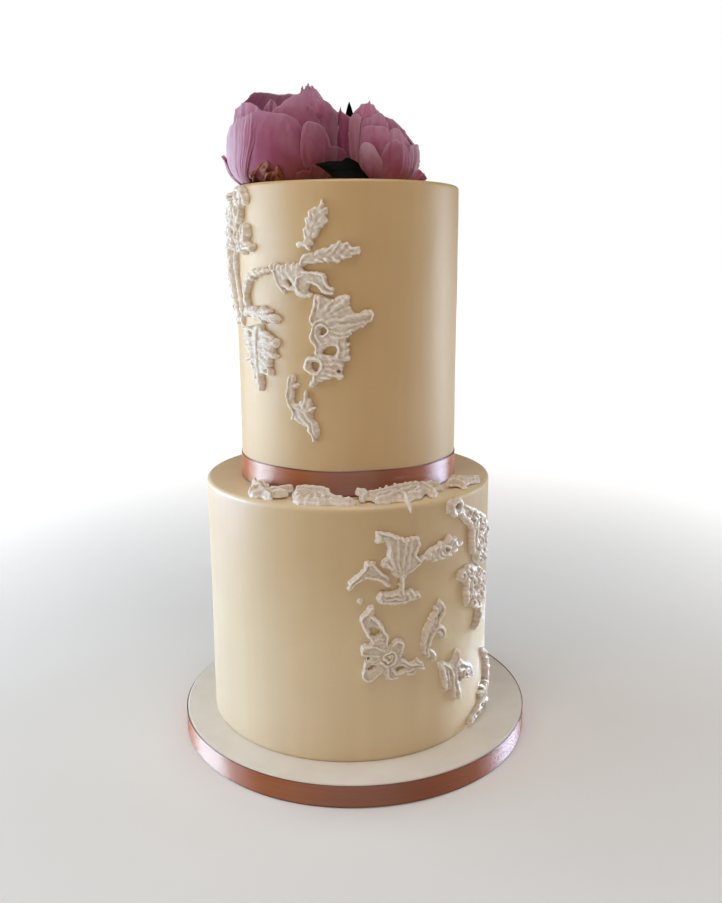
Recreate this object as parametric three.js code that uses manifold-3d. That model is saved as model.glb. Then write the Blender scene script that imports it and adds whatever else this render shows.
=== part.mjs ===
// Two-tier wedding cake, millimetres, +Z up.
// Origin: centre of the round iced base, on its underside. Front is -Y.
// Ivory sugar-paste tiers, satin ribbon, moulded white scroll trim and two peonies.
import * as THREE from 'three';
import { mergeVertices } from 'three/addons/utils/BufferGeometryUtils.js';
import Module from 'manifold-3d';

const wasm = await Module();
wasm.setup();

// ---- driving dimensions -------------------------------------------------
const GAP = 0.3;              // clearance between neighbouring pieces
const BASE_R = 127;           // iced base, 10 inch
const BASE_H = 16.6;
const TIER_X = -4.2;          // the tiers sit a little left of the base's centre
const LOWER_R = 101.5;        // lower tier, 8 inch
const LOWER_H = 173.7;
const UPPER_R = 76.2;         // upper tier, 6 inch
const UPPER_H = 196.7;
const RIM = 4.2;              // rounded icing edge at the top of each tier
const BASE_RIM = 1.6;
const RIBBON_T = 0.7;
const RIBBON_H = 16.6;        // ribbon at the foot of the upper tier
const BASE_RIBBON_H = 15.4;   // ribbon round the edge of the base
const TRIM_H = 3.4;           // thickness of the moulded trim
const SEG = 40;               // facets round the cake

const LOWER_Z = BASE_H + GAP;
const LEDGE_Z = LOWER_Z + LOWER_H;
const UPPER_Z = LEDGE_Z + GAP;
const CROWN_Z = UPPER_Z + UPPER_H;

// ---- materials ----------------------------------------------------------
const mat = (color, roughness, metalness = 0) =>
  new THREE.MeshStandardMaterial({ color, roughness, metalness });
const icing = () => mat(0xe9dcc4, 0.55);
const satin = () => mat(0xb27a62, 0.35);
const sugar = () => mat(0xf1e9df, 0.5);
const petal = () => mat(0xb980a4, 0.6);
const leafGreen = () => mat(0x16231a, 0.55);

const cake = new THREE.Group();
const add = (name, geometry, material) => {
  const mesh = new THREE.Mesh(geometry, material);
  mesh.name = name;
  cake.add(mesh);
  return mesh;
};

// ---- solids helpers -----------------------------------------------------
// Position-only geometry with shared vertices merged.
function weld(geometry) {
  const g = geometry.clone();
  g.deleteAttribute('normal');
  g.deleteAttribute('uv');
  return mergeVertices(g, 1e-4);
}

function toSolid(geometry) {
  const g = weld(geometry);
  return new wasm.Manifold(new wasm.Mesh({
    numProp: 3,
    vertProperties: new Float32Array(g.attributes.position.array),
    triVerts: new Uint32Array(g.index.array),
  }));
}

function toGeometry(solid) {
  const m = solid.getMesh();
  const g = new THREE.BufferGeometry();
  const pos = new Float32Array((m.vertProperties.length / m.numProp) * 3);
  for (let i = 0; i < pos.length / 3; i++) {
    for (let k = 0; k < 3; k++) pos[3 * i + k] = m.vertProperties[m.numProp * i + k];
  }
  g.setAttribute('position', new THREE.BufferAttribute(pos, 3));
  g.setIndex(new THREE.BufferAttribute(new Uint32Array(m.triVerts), 1));
  g.computeVertexNormals();
  return g;
}

function join(pieces) {
  let s = toSolid(pieces[0]);
  for (const p of pieces.slice(1)) s = s.add(toSolid(p));
  return toGeometry(s);
}

// Moves every vertex of a geometry through f(vector).
function warp(geometry, f) {
  const p = geometry.attributes.position;
  const v = new THREE.Vector3();
  for (let i = 0; i < p.count; i++) {
    v.fromBufferAttribute(p, i);
    f(v);
    p.setXYZ(i, v.x, v.y, v.z);
  }
  return geometry;
}

// ---- round bodies -------------------------------------------------------
function lathe(profile) {
  const g = new THREE.LatheGeometry(profile, SEG);
  g.rotateX(Math.PI / 2);          // lathe turns round Y, the cake stands on Z
  return toGeometry(toSolid(g));
}

function tierProfile(r, h, rim, steps) {
  const pts = [new THREE.Vector2(0, 0), new THREE.Vector2(r, 0), new THREE.Vector2(r, h - rim)];
  for (let i = 1; i <= steps; i++) {
    const a = (i / steps) * Math.PI / 2;
    pts.push(new THREE.Vector2(r - rim + rim * Math.cos(a), h - rim + rim * Math.sin(a)));
  }
  pts.push(new THREE.Vector2(0, h));
  return pts;
}

function bandProfile(r0, r1, h) {
  return [
    new THREE.Vector2(r0, 0), new THREE.Vector2(r1, 0),
    new THREE.Vector2(r1, h), new THREE.Vector2(r0, h), new THREE.Vector2(r0, 0),
  ];
}

add('iced_base', lathe(tierProfile(BASE_R, BASE_H, BASE_RIM, 2)), icing());
add('base_ribbon', lathe(bandProfile(BASE_R + GAP, BASE_R + GAP + RIBBON_T, BASE_RIBBON_H)), satin())
  .position.set(0, 0, 0.5);
add('lower_tier', lathe(tierProfile(LOWER_R, LOWER_H, RIM, 3)), icing())
  .position.set(TIER_X, 0, LOWER_Z);
add('upper_tier', lathe(tierProfile(UPPER_R, UPPER_H, RIM, 3)), icing())
  .position.set(TIER_X, 0, UPPER_Z);
add('tier_ribbon', lathe(bandProfile(UPPER_R + GAP, UPPER_R + GAP + RIBBON_T, RIBBON_H)), satin())
  .position.set(TIER_X, 0, UPPER_Z + 0.2);

// ---- moulded trim -------------------------------------------------------
// Every piece is drawn flat, u across and z up with n out of the surface, then
// laid on the tier's wall or on the ledge.
const onWall = (R) => (v) => {
  const a = v.x / R, r = R + v.z;
  v.set(TIER_X + r * Math.sin(a), -r * Math.cos(a), v.y);
};
// On the ledge x is the bearing in degrees and y the radius; pieces lean on the ribbon.
const LEAN = 0.16;
const onLedge = (v) => {
  const a = THREE.MathUtils.degToRad(v.x);
  const lift = GAP + LEAN * Math.max(0, LOWER_R - RIM - v.y);
  v.set(TIER_X + v.y * Math.sin(a), -v.y * Math.cos(a), LEDGE_Z + lift + v.z);
};

// Bar along a smooth curve: half width goes from w0 through w1 (middle) to w2 (end).
function bar(points, w0, w1, w2, { h = TRIM_H, n = 5, lift = GAP, wave = 0, ledge = false } = {}) {
  const curve = new THREE.CatmullRomCurve3(points.map(([x, y]) => new THREE.Vector3(x, y, 0)), false, 'centripetal');
  const metric = ledge ? 1.5 : 1;      // one degree is about 1.5 mm on the ledge
  const ridged = Math.max(w0, w1, w2) > 3;      // broad bars rise to a middle ridge
  const g = new THREE.BoxGeometry(1, 1, 1, n, ridged ? 2 : 1, 1);
  return warp(g, (v) => {
    const t = v.x + 0.5, s = 2 * v.y, top = v.z > 0;
    const c = curve.getPoint(t), d = curve.getTangent(t);
    d.x *= metric;
    d.normalize();
    let w = t < 0.5 ? w0 + (w1 - w0) * 2 * t : w1 + (w2 - w1) * (2 * t - 1);
    if (wave) w *= 1 + wave * (Math.round(t * n) % 2 ? 1 : -1);
    const nz = top ? lift + (s === 0 ? h : (ridged ? 0.62 : 0.85) * h) : lift;
    v.set(c.x - (d.y * s * w) / metric, c.y + d.x * s * w, nz);
  });
}

// Lobed acanthus leaf from its foot to its tip.
function leaf(x0, y0, x1, y1, w, opts = {}) {
  const { bow = 0, lobes = 3, lift = GAP } = opts;
  const dx = x1 - x0, dy = y1 - y0;
  const mid = [(x0 + x1) / 2 - dy * bow, (y0 + y1) / 2 + dx * bow];
  const curve = new THREE.QuadraticBezierCurve(
    new THREE.Vector2(x0, y0), new THREE.Vector2(mid[0], mid[1]), new THREE.Vector2(x1, y1));
  const n = 2 * lobes + 1;
  const g = new THREE.BoxGeometry(1, 1, 1, n, 2, 1);
  return warp(g, (v) => {
    const t = v.x + 0.5, s = 2 * v.y, top = v.z > 0;
    const c = curve.getPoint(t), d = curve.getTangent(t);
    const even = Math.round(t * n) % 2;
    const hw = Math.max(0.7, w * Math.pow(Math.sin(Math.PI * Math.min(0.999, 0.12 + 0.88 * t)), 0.7) * (even ? 1 : 0.74));
    const nz = top ? lift + (s === 0 ? TRIM_H : 0.6 * TRIM_H) : lift;
    v.set(c.x - d.y * s * hw, c.y + d.x * s * hw, nz);
  });
}

// Shell: flutes spread from a hub between two angles; reach follows the radii given.
function shell(cx, cy, a0, a1, inner, radii, opts = {}) {
  const { lift = GAP, metric = 1 } = opts;
  const n = radii.length - 1;
  const g = new THREE.BoxGeometry(1, 1, 1, n, 2, 1);
  return warp(g, (v) => {
    const t = v.x + 0.5, s = 2 * v.y, top = v.z > 0;
    const i = Math.round(t * n);
    const a = THREE.MathUtils.degToRad(a0 + (a1 - a0) * t);
    const out = a1 > a0 ? -s : s;
    const r = out > 0 ? radii[i] : out < 0 ? inner : (inner + radii[i]) / 2;
    const nz = top ? lift + TRIM_H * (i % 2 ? 1 : 0.7) : lift;
    v.set(cx + (r * Math.cos(a)) / metric, cy + r * Math.sin(a), nz);
  });
}

function ring(cx, cy, r, w, lift = GAP, metric = 1) {
  const g = new THREE.TorusGeometry(r, w, 4, 7);
  return warp(g, (v) => v.set(cx + v.x / metric, cy + v.y, lift + w * 0.85 + v.z * 0.85));
}

function bead(cx, cy, r, lift = GAP, metric = 1) {
  const g = new THREE.SphereGeometry(r, 6, 3);
  return warp(g, (v) => v.set(cx + v.x / metric, cy + v.y, lift + r + v.z));
}

// The ledge drawing is mirrored when it is laid down, so its faces are turned over.
function turnOver(geometry) {
  const ix = geometry.index.array;
  for (let i = 0; i < ix.length; i += 3) [ix[i], ix[i + 1]] = [ix[i + 1], ix[i]];
  return geometry;
}
const trim = (name, place, pieces) => add(name, join(pieces.map((p) => {
  const laid = warp(p, place);
  return place === onLedge ? turnOver(laid) : laid;
})), sugar());
const upper = onWall(UPPER_R), lower = onWall(LOWER_R);
const L2 = GAP + 0.14, L3 = GAP + 0.28, L4 = GAP + 0.42;   // staggered backs keep joins clean

// Upper tier, from the rim down.
trim('trim_leaf_upright', upper, [
  leaf(-24.6, 348.8, -13.9, 374.2, 5.8, { bow: 0.05, lobes: 3 }),
  bar([[-30.4, 350.2], [-26, 348.8], [-21.4, 348]], 1.6, 2, 1.4, { n: 3, lift: L2 }),
]);
trim('trim_leaf_oblique', upper, [
  leaf(-24, 341.2, 8.4, 346.4, 5.6, { bow: 0.04, lobes: 4 }),
  bar([[-28.2, 336.9], [-26, 340.4], [-20, 342.6]], 1.8, 2.4, 1.6, { n: 3, lift: L2 }),
]);
trim('trim_hook', upper, [
  bar([[-25.4, 318.4], [-30.2, 322.8], [-27.6, 329.4], [-19, 331.6], [-13, 327.6], [-9.4, 320.6]], 1.9, 3, 2.4, { n: 8 }),
  bar([[-50.2, 335.4], [-46.6, 331], [-44.2, 325.6], [-40.6, 320.8]], 1.8, 2.6, 1.5, { n: 4, lift: L2 }),
  bar([[-47, 332.4], [-38.5, 333.2], [-29, 331.6]], 2.4, 3.9, 2.6, { n: 5, lift: L3, wave: 0.14 }),
  bar([[-41.6, 322.6], [-36, 321.8], [-29.6, 323.2]], 1.6, 1.6, 1.6, { n: 3, lift: L4 }),
]);
trim('trim_shell_upper', upper, [
  shell(-19, 301, 84, -44, 4.4, [17.6, 18.6, 23.4, 25.4, 23, 33, 29, 22.8, 19, 16.6], { lift: 2 * GAP }),
  bead(14.6, 306.6, 3.1, L2),
  bar([[-19.6, 318.6], [-21.4, 310.6], [-21.8, 303.4], [-20.2, 299.6], [-21.6, 294], [-19.6, 286.8], [-19, 280.6]], 1.9, 2.3, 1.8, { n: 6, lift: L3 }),
  ring(-15, 296.9, 3.9, 1.8, L4),
  bar([[-5.4, 293.6], [-3.6, 286.4], [-4, 278]], 2.2, 3, 2.2, { n: 3, lift: L3 }),
  bar([[-20, 279.4], [-12, 276.2], [-2.6, 274.8]], 2, 5.2, 3.4, { n: 4, lift: L2 }),
  ring(-21.6, 275.8, 4.6, 1.9, L4),
  bar([[-22.4, 263.4], [-18.6, 268.4], [-12, 271.4]], 1.6, 2.6, 2.6, { n: 3, lift: L3 }),
]);
trim('trim_sprig_upper', upper, [
  bar([[-37.4, 267.4], [-39, 260], [-39, 253.6], [-36.6, 248], [-36, 244.6], [-38, 240.2]], 2.2, 2.4, 1.6, { n: 6 }),
  bar([[-37.4, 247.2], [-30.4, 247], [-26.4, 241.6], [-23.4, 234.6], [-21.8, 227.8]], 2.2, 3.4, 1.7, { n: 6, lift: L2 }),
  bar([[-28.6, 245.6], [-27.2, 251.4], [-26.6, 257.4]], 2.6, 1.8, 0.9, { n: 3, lift: L3 }),
  bar([[-29, 246.4], [-25, 247.4], [-21, 247.8]], 2.2, 1.6, 0.9, { n: 2, lift: L4 }),
]);
trim('trim_c_scroll', upper, [
  bar([[-54, 333.6], [-63.4, 332.6], [-70, 328.6], [-72.6, 320.6], [-72, 312.4], [-66.4, 308]], 1.6, 3, 2.8, { n: 7 }),
  leaf(-70, 308.6, -43.6, 304.4, 5.4, { bow: 0.05, lobes: 3, lift: L2 }),
]);
trim('trim_leaf_hanging', upper, [
  leaf(-64.6, 298.6, -56.6, 257.4, 7.2, { bow: -0.04, lobes: 3 }),
  bar([[-61, 292.6], [-52, 290.8], [-44, 288]], 2.6, 3, 1.2, { n: 4, lift: L2 }),
  bar([[-60, 284.4], [-52.6, 281.8], [-46.6, 280]], 2.6, 2.6, 1.1, { n: 3, lift: L3 }),
  bar([[-58.6, 275], [-53.4, 269.4], [-49.6, 267.4]], 2.4, 2.2, 1, { n: 3, lift: L4 }),
  bar([[-63, 293.4], [-71, 294.4], [-78.4, 295]], 2.4, 2.6, 1.3, { n: 3, lift: L3 }),
  bar([[-62.6, 286], [-69.4, 284], [-74.4, 280]], 2.4, 2.4, 1.2, { n: 3, lift: L4 }),
]);
trim('trim_rim_cluster', upper, [
  bar([[-79, 381.4], [-75.4, 378.6], [-71, 373.6], [-76.6, 368.4], [-82, 360.4], [-80.4, 351]], 1.8, 2.4, 2, { n: 8 }),
  leaf(-71.6, 363, -69.8, 346.2, 4.4, { lobes: 2, lift: L2 }),
  bar([[-84, 348.6], [-76, 347.4], [-66, 346.6]], 2.4, 2.6, 1.6, { n: 4, lift: L3 }),
  bar([[-83, 360], [-87.6, 356], [-83, 350]], 1.6, 1.8, 1.6, { n: 3, lift: L4 }),
]);
trim('trim_edge_strand', upper, [
  bar([[-92, 373], [-100, 366], [-103, 354], [-102, 340], [-103, 326], [-97, 314], [-90.4, 304], [-83.6, 297.6]], 2, 3, 1.8, { n: 9, h: 4.8, wave: 0.16 }),
  ring(-98.4, 369, 4.4, 2.3, L2),
  ring(-98.4, 347, 4.6, 2.3, L3),
  leaf(-103, 334, -112.6, 316, 5, { lobes: 2, lift: L4 }),
]);

// Lower tier.
trim('trim_shell_lower', lower, [
  shell(34, 147.4, 24, 132, 3, [15.4, 20.6, 22.4, 21, 23.4, 22.6, 12.6]),
  bar([[28.4, 158], [24.8, 166.6], [20.6, 170.8]], 2.8, 2.4, 2.6, { n: 3, lift: L2 }),
  bead(46.8, 153.6, 3.6, L3),
  bar([[34, 150.6], [33.6, 142], [35, 132.4]], 4.6, 2.8, 2.2, { n: 4, lift: L4 }),
  leaf(18.6, 130.8, 47.2, 129.4, 5.2, { bow: -0.06, lobes: 3, lift: L2 }),
]);
trim('trim_leaf_arched', lower, [
  bar([[0.6, 136], [6.2, 143.4], [12.4, 148.2], [19.4, 146], [25.4, 139]], 1.4, 4.2, 1.7, { n: 7, wave: 0.08 }),
]);
trim('trim_leaf_side', lower, [
  leaf(50.6, 155.6, 79.6, 157.8, 6, { bow: -0.05, lobes: 4 }),
]);
trim('trim_scroll_rosette', lower, [
  bar([[17.4, 126.6], [10.4, 121], [8.8, 114], [11.6, 107], [17.4, 99.6]], 1.8, 2.6, 1.9, { n: 6 }),
  bar([[10.8, 118], [18, 113.6], [22.4, 107], [24.2, 99]], 1.4, 1.5, 1.5, { n: 5, lift: L2 }),
  ring(24.4, 91.6, 5.6, 2.1, L3),
  bar([[7.4, 94.6], [14, 97], [21.6, 96]], 2.6, 3, 2.4, { n: 3, lift: L2 }),
  bar([[35, 100], [31.4, 97.4], [28.4, 94]], 2.6, 3, 2.4, { n: 2, lift: L4 }),
  bar([[10.6, 77.8], [15, 82.4], [20.6, 88]], 3, 3, 2, { n: 3, lift: GAP }),
  bar([[25, 88], [29, 79], [40, 75.6], [50.6, 78.6]], 2.6, 2.9, 1.6, { n: 5, lift: L2 }),
  bar([[28.6, 88.4], [36.4, 84], [43, 84], [49, 82]], 1.7, 1.6, 1.6, { n: 3, lift: L4 }),
]);
trim('trim_leaf_tall', lower, [
  bar([[63.8, 121.6], [63.4, 113], [57.6, 105], [51.6, 98.4], [49.2, 91.6], [53, 86.4], [59.6, 81.8]], 1.3, 3.6, 1.3, { n: 9, wave: 0.1 }),
  bar([[56.4, 102.6], [61.6, 101], [66.6, 95]], 2.2, 2, 1.1, { n: 3, lift: L2 }),
]);
trim('trim_sprig_lower', lower, [
  bar([[63, 76.6], [66, 68], [68.6, 57.6]], 1.9, 2.2, 1.3, { n: 4 }),
  bar([[64.4, 75.4], [72, 69], [78.4, 57.6], [80.6, 47.6]], 2, 2.7, 1.4, { n: 6, lift: L2 }),
  bar([[71, 70.6], [76.6, 74.4], [78, 81.8]], 2.2, 2, 1, { n: 3, lift: L3 }),
  bar([[72.4, 66], [84, 66.4], [94, 60.8]], 2.4, 3, 1.8, { n: 4, lift: L4 }),
  bar([[69, 70], [72, 60], [74.2, 49]], 1.6, 1.9, 1.2, { n: 4, lift: L3 }),
]);
trim('trim_edge_scroll', lower, [
  ring(73.4, 181.4, 3.9, 2),
  bar([[73, 177.4], [79.4, 173.6], [86.6, 169.6], [91, 161.4], [92.6, 148.4]], 2, 2.7, 2.1, { n: 6, lift: L2 }),
  bar([[77, 182], [84.6, 176.8], [96, 171.6], [106, 166.4], [112, 157], [111, 146.6]], 2, 2.9, 1.8, { n: 7, lift: L3 }),
  ring(98.4, 158, 4.8, 2.2, L4),
  bar([[90, 166.4], [97, 165], [104, 167]], 2, 2.4, 2, { n: 3, lift: GAP }),
  bar([[93, 150.6], [102, 148], [110.6, 149.6]], 2.2, 2.4, 2, { n: 4, lift: L4 }),
]);
trim('trim_edge_leaf', lower, [
  leaf(90.6, 138.6, 97.6, 101.8, 8, { bow: 0.04, lobes: 4 }),
  bar([[80.4, 135.8], [85, 136.6], [91.6, 134.6]], 1.5, 1.9, 2.2, { n: 3, lift: L2 }),
  bar([[94, 132], [102.6, 131], [109, 124]], 2.4, 3, 1.6, { n: 4, lift: L3 }),
  bar([[95.4, 118], [103.4, 114], [109.6, 106]], 2.4, 2.8, 1.5, { n: 4, lift: L4 }),
  bar([[96.6, 106.6], [101.4, 99.6], [99, 92]], 2.2, 2, 1.1, { n: 4, lift: L2 }),
]);
trim('trim_edge_tail', lower, [
  bar([[118, 65.6], [126, 57], [131, 46], [130.6, 34.4], [122, 27.4], [110, 24.6], [98.6, 21]], 1.4, 2.7, 1.3, { n: 10, h: 4, wave: 0.12 }),
  bar([[121, 27], [126, 22.6], [134, 21.6]], 2, 2, 1.2, { n: 3, lift: L2 }),
]);

// Pieces lying on the ledge, inner edges propped on the ribbon.
trim('trim_ledge_crossed', onLedge, [
  bar([[-49, 83], [-43, 87], [-36.6, 92], [-30.6, 96.4]], 2, 3.4, 2, { n: 5, lift: 0, ledge: true }),
  bar([[-27.4, 80.2], [-31.4, 86], [-35.8, 92], [-39.6, 96.4]], 2, 3.2, 1.8, { n: 5, lift: 0.14, ledge: true }),
  bar([[-46, 79.8], [-41.6, 83], [-37.6, 90]], 2, 2.8, 2.2, { n: 4, lift: 0.28, ledge: true }),
]);
trim('trim_ledge_shell', onLedge, [
  shell(-14.6, 79.8, 176, 38, 1.8, [13, 15.4, 14.4, 16.4, 15.2, 16.6, 15, 14, 11], { lift: 0, metric: 1.5 }),
  bar([[-11.6, 87], [-6, 90.4], [0.6, 95.4]], 3.4, 3.2, 2.2, { n: 4, lift: 0.14, ledge: true }),
]);
trim('trim_ledge_scroll', onLedge, [
  bar([[4.4, 80.2], [7.4, 85.4], [6, 90.6]], 1.8, 2.6, 1.8, { n: 4, lift: 0, ledge: true }),
  bar([[7, 86], [14, 85], [22, 82.4], [31, 81.4], [38, 83.4], [42.4, 87.4]], 2, 3.2, 2, { n: 9, lift: 0.14, ledge: true, wave: 0.1 }),
  bar([[11.4, 95], [17, 92.4], [24, 87], [30, 84.6]], 1.7, 2.6, 2.2, { n: 6, lift: 0.28, ledge: true }),
  bar([[22.4, 88.6], [23.4, 93], [20.6, 97.2]], 2, 2, 1.1, { n: 3, lift: 0.42, ledge: true }),
  bar([[36.4, 83.6], [36.4, 89.6], [34.2, 96.4]], 2.4, 2.4, 1.4, { n: 4, lift: 0.42, ledge: true }),
]);
trim('trim_ledge_side', onLedge, [
  bar([[50.4, 87], [56, 90], [62.6, 96.2]], 2, 3, 1.7, { n: 4, lift: 0, ledge: true }),
  bar([[58, 83], [59.6, 90], [66.4, 96.4]], 1.7, 2.6, 1.7, { n: 4, lift: 0.14, ledge: true }),
]);

// ---- flowers ------------------------------------------------------------
// Full bloom: rows of cupped petals round a closed heart, a taller petal to one side.
function bloom(R, H, rows, peak) {
  const g = new THREE.SphereGeometry(1, 18, 12);
  g.rotateX(Math.PI / 2);
  return toGeometry(toSolid(warp(g, (v) => {
    const polar = Math.acos(THREE.MathUtils.clamp(v.z, -1, 1));
    const az = Math.atan2(v.y, v.x);
    const up = 0.5 + 0.5 * v.z;                                  // 0 at the foot, 1 at the crown
    let cup = 0;
    rows.forEach(({ at, petals, turn, swell }) => {
      const near = Math.exp(-(((up - at) / 0.2) ** 2));
      cup += near * swell * Math.abs(Math.cos((petals / 2) * (az - turn)));
    });
    const reach = Math.pow(Math.sin(polar), 0.72) * (0.93 + 0.12 * up * (1 - up) * 4 * 0.35) * (1 + cup);
    const x = R * reach * Math.cos(az), y = R * reach * Math.sin(az);
    let z = H * Math.pow(up, 0.92) * (1 + 0.5 * cup * up);
    z += peak.h * Math.exp(-((x - peak.x) ** 2 + (y - peak.y) ** 2) / (peak.w * peak.w)) * up;
    v.set(x, y, z);
  })));
}

const CROWN = CROWN_Z + GAP;
add('peony_left', bloom(38, 55, [
  { at: 0.3, petals: 6, turn: 0.3, swell: 0.05 }, { at: 0.7, petals: 5, turn: 0.9, swell: 0.08 },
], { x: 17, y: -6, w: 13, h: 11 }), petal()).position.set(TIER_X - 42.4, -8, CROWN);
add('peony_right', bloom(23.6, 49, [
  { at: 0.3, petals: 5, turn: 0.5, swell: 0.06 }, { at: 0.7, petals: 4, turn: 1.2, swell: 0.07 },
], { x: -10, y: -4, w: 10, h: 4 }), petal()).position.set(TIER_X + 25, -14, CROWN);

// Leaves tucked between the blooms: blade from foot to tip, folded along the midrib.
function blade(foot, tip, side, w, n = 5) {
  const a = new THREE.Vector3(...foot), b = new THREE.Vector3(...tip), s = new THREE.Vector3(...side).normalize();
  const along = b.clone().sub(a);
  const up = along.clone().cross(s).normalize();
  const g = new THREE.BoxGeometry(1, 1, 1, n, 2, 1);
  return toGeometry(toSolid(warp(g, (v) => {
    const t = v.x + 0.5, q = 2 * v.y, top = v.z > 0;
    const hw = Math.max(0.6, w * Math.pow(Math.sin(Math.PI * (0.14 + 0.86 * t) * 0.999), 0.8));
    const p = a.clone().addScaledVector(along, t).addScaledVector(s, q * hw)
      .addScaledVector(up, (top ? 0.5 : -0.5) + 0.22 * Math.abs(q) * hw);
    v.copy(p);
  })));
}
add('leaf_front', blade([18, -32.3, 2.8], [-23.5, -51, 10.8], [0.1, -0.75, -0.6], 8.5), leafGreen())
  .position.set(TIER_X, 0, CROWN);
add('leaf_back', blade([2.4, 15, 1.4], [1.4, 12, 53], [1, 0, 0.05], 6.5), leafGreen())
  .position.set(TIER_X, 0, CROWN);

export default cake;
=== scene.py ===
import math

import bpy
import numpy as np
from mathutils import Matrix, Vector


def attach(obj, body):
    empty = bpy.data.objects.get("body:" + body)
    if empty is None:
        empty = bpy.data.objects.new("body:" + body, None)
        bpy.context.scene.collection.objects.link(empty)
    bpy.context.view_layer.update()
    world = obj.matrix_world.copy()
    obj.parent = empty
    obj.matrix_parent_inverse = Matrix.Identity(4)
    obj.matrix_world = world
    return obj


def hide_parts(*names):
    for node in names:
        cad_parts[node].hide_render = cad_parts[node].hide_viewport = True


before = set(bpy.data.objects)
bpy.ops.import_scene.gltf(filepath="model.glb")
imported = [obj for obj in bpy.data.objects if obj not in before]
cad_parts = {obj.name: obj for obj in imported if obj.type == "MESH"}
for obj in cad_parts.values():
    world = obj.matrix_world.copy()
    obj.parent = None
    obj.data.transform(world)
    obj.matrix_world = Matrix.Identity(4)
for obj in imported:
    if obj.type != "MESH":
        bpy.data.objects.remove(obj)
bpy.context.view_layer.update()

MM = 0.001
# ---- sizes shared with the CAD part, millimetres ---------------------------
TIER_X = -4.2
BASE_R, BASE_H = 127.0, 16.6
LOWER_R, LOWER_Z, LEDGE_Z = 101.5, 16.9, 190.6
UPPER_R, UPPER_Z, CROWN_Z = 76.2, 190.9, 387.6
RIM = 4.2

scene = bpy.context.scene
scene.view_settings.view_transform = "Standard"
scene.view_settings.look = "None"


# ---- mesh helpers -----------------------------------------------------------
def make(name, verts, faces, material, body="root", smooth=True, uv=None, tint=None, mm=True):
    """Object from arrays. faces is (n, 3) or (n, 4), or a list of such arrays."""
    verts = np.asarray(verts, dtype=np.float64)
    if mm:
        verts = verts * MM
    groups = faces if isinstance(faces, list) else [faces]
    groups = [np.asarray(g, dtype=np.int64) for g in groups if len(g)]
    loops = np.concatenate([g.ravel() for g in groups]).astype(np.int32)
    sizes = np.concatenate([np.full(len(g), g.shape[1]) for g in groups])
    starts = np.concatenate([[0], np.cumsum(sizes)[:-1]]).astype(np.int32)
    me = bpy.data.meshes.new(name)
    me.vertices.add(len(verts))
    me.vertices.foreach_set("co", verts.astype(np.float32).ravel())
    me.loops.add(len(loops))
    me.loops.foreach_set("vertex_index", loops)
    me.polygons.add(len(starts))
    me.polygons.foreach_set("loop_start", starts)
    me.polygons.foreach_set("use_smooth", np.full(len(starts), bool(smooth)))
    me.update(calc_edges=True)
    if uv is not None:
        layer = me.uv_layers.new(name="UVMap")
        layer.data.foreach_set("uv", np.asarray(uv, dtype=np.float32)[loops].ravel())
    if tint is not None:
        att = me.color_attributes.new("tint", "FLOAT_COLOR", "POINT")
        att.data.foreach_set("color", np.asarray(tint, dtype=np.float32).ravel())
    me.validate()
    ob = bpy.data.objects.new(name, me)
    scene.collection.objects.link(ob)
    me.materials.append(material)
    return ob


def grid_faces(rows, cols, wrap=False):
    """Quads of a rows x cols vertex grid, columns closing on themselves if wrap."""
    c = cols if wrap else cols - 1
    i, j = np.meshgrid(np.arange(rows - 1), np.arange(c), indexing="ij")
    a = i * cols + j
    b = i * cols + (j + 1) % cols
    return np.stack([a, b, b + cols, a + cols], -1).reshape(-1, 4)


def spline(points, n=40):
    """Smooth curve through a few control points (centripetal Catmull-Rom)."""
    p = np.asarray(points, dtype=float)
    if len(p) == 1:
        return p
    if len(p) == 2:
        t = np.linspace(0, 1, n)[:, None]
        return p[0] * (1 - t) + p[1] * t
    p = np.vstack([2 * p[0] - p[1], p, 2 * p[-1] - p[-2]])
    out = []
    per = max(4, n // (len(p) - 3))
    for i in range(1, len(p) - 2):
        p0, p1, p2, p3 = p[i - 1], p[i], p[i + 1], p[i + 2]
        k = [0.0]
        for a, b in ((p0, p1), (p1, p2), (p2, p3)):
            k.append(k[-1] + max(1e-6, np.linalg.norm(b - a)) ** 0.5)
        t = np.linspace(k[1], k[2], per, endpoint=(i == len(p) - 3))[:, None]
        a1 = (k[1] - t) / (k[1] - k[0]) * p0 + (t - k[0]) / (k[1] - k[0]) * p1
        a2 = (k[2] - t) / (k[2] - k[1]) * p1 + (t - k[1]) / (k[2] - k[1]) * p2
        a3 = (k[3] - t) / (k[3] - k[2]) * p2 + (t - k[2]) / (k[3] - k[2]) * p3
        b1 = (k[2] - t) / (k[2] - k[0]) * a1 + (t - k[0]) / (k[2] - k[0]) * a2
        b2 = (k[3] - t) / (k[3] - k[1]) * a2 + (t - k[1]) / (k[3] - k[1]) * a3
        out.append((k[2] - t) / (k[2] - k[1]) * b1 + (t - k[1]) / (k[2] - k[1]) * b2)
    return np.vstack(out)


def waves(seed, n, fmax, gmax):
    """Sum of seeded sine waves over two coordinates, roughly -1..1."""
    rng = np.random.default_rng(seed)
    f = rng.uniform(-fmax, fmax, n)
    g = rng.uniform(-gmax, gmax, n)
    ph = rng.uniform(0, 2 * math.pi, n)

    def at(a, b, whole=False):
        ff = np.round(f) if whole else f
        s = 0.0
        for i in range(n):
            s = s + np.sin(ff[i] * a + g[i] * b + ph[i])
        return s / math.sqrt(n)

    return at


# ---- materials --------------------------------------------------------------
def nodes_of(name):
    m = bpy.data.materials.new(name)
    m.use_nodes = True
    nt = m.node_tree
    nt.nodes.clear()
    out = nt.nodes.new("ShaderNodeOutputMaterial")
    bsdf = nt.nodes.new("ShaderNodeBsdfPrincipled")
    nt.links.new(bsdf.outputs[0], out.inputs[0])
    return m, nt, bsdf


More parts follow.
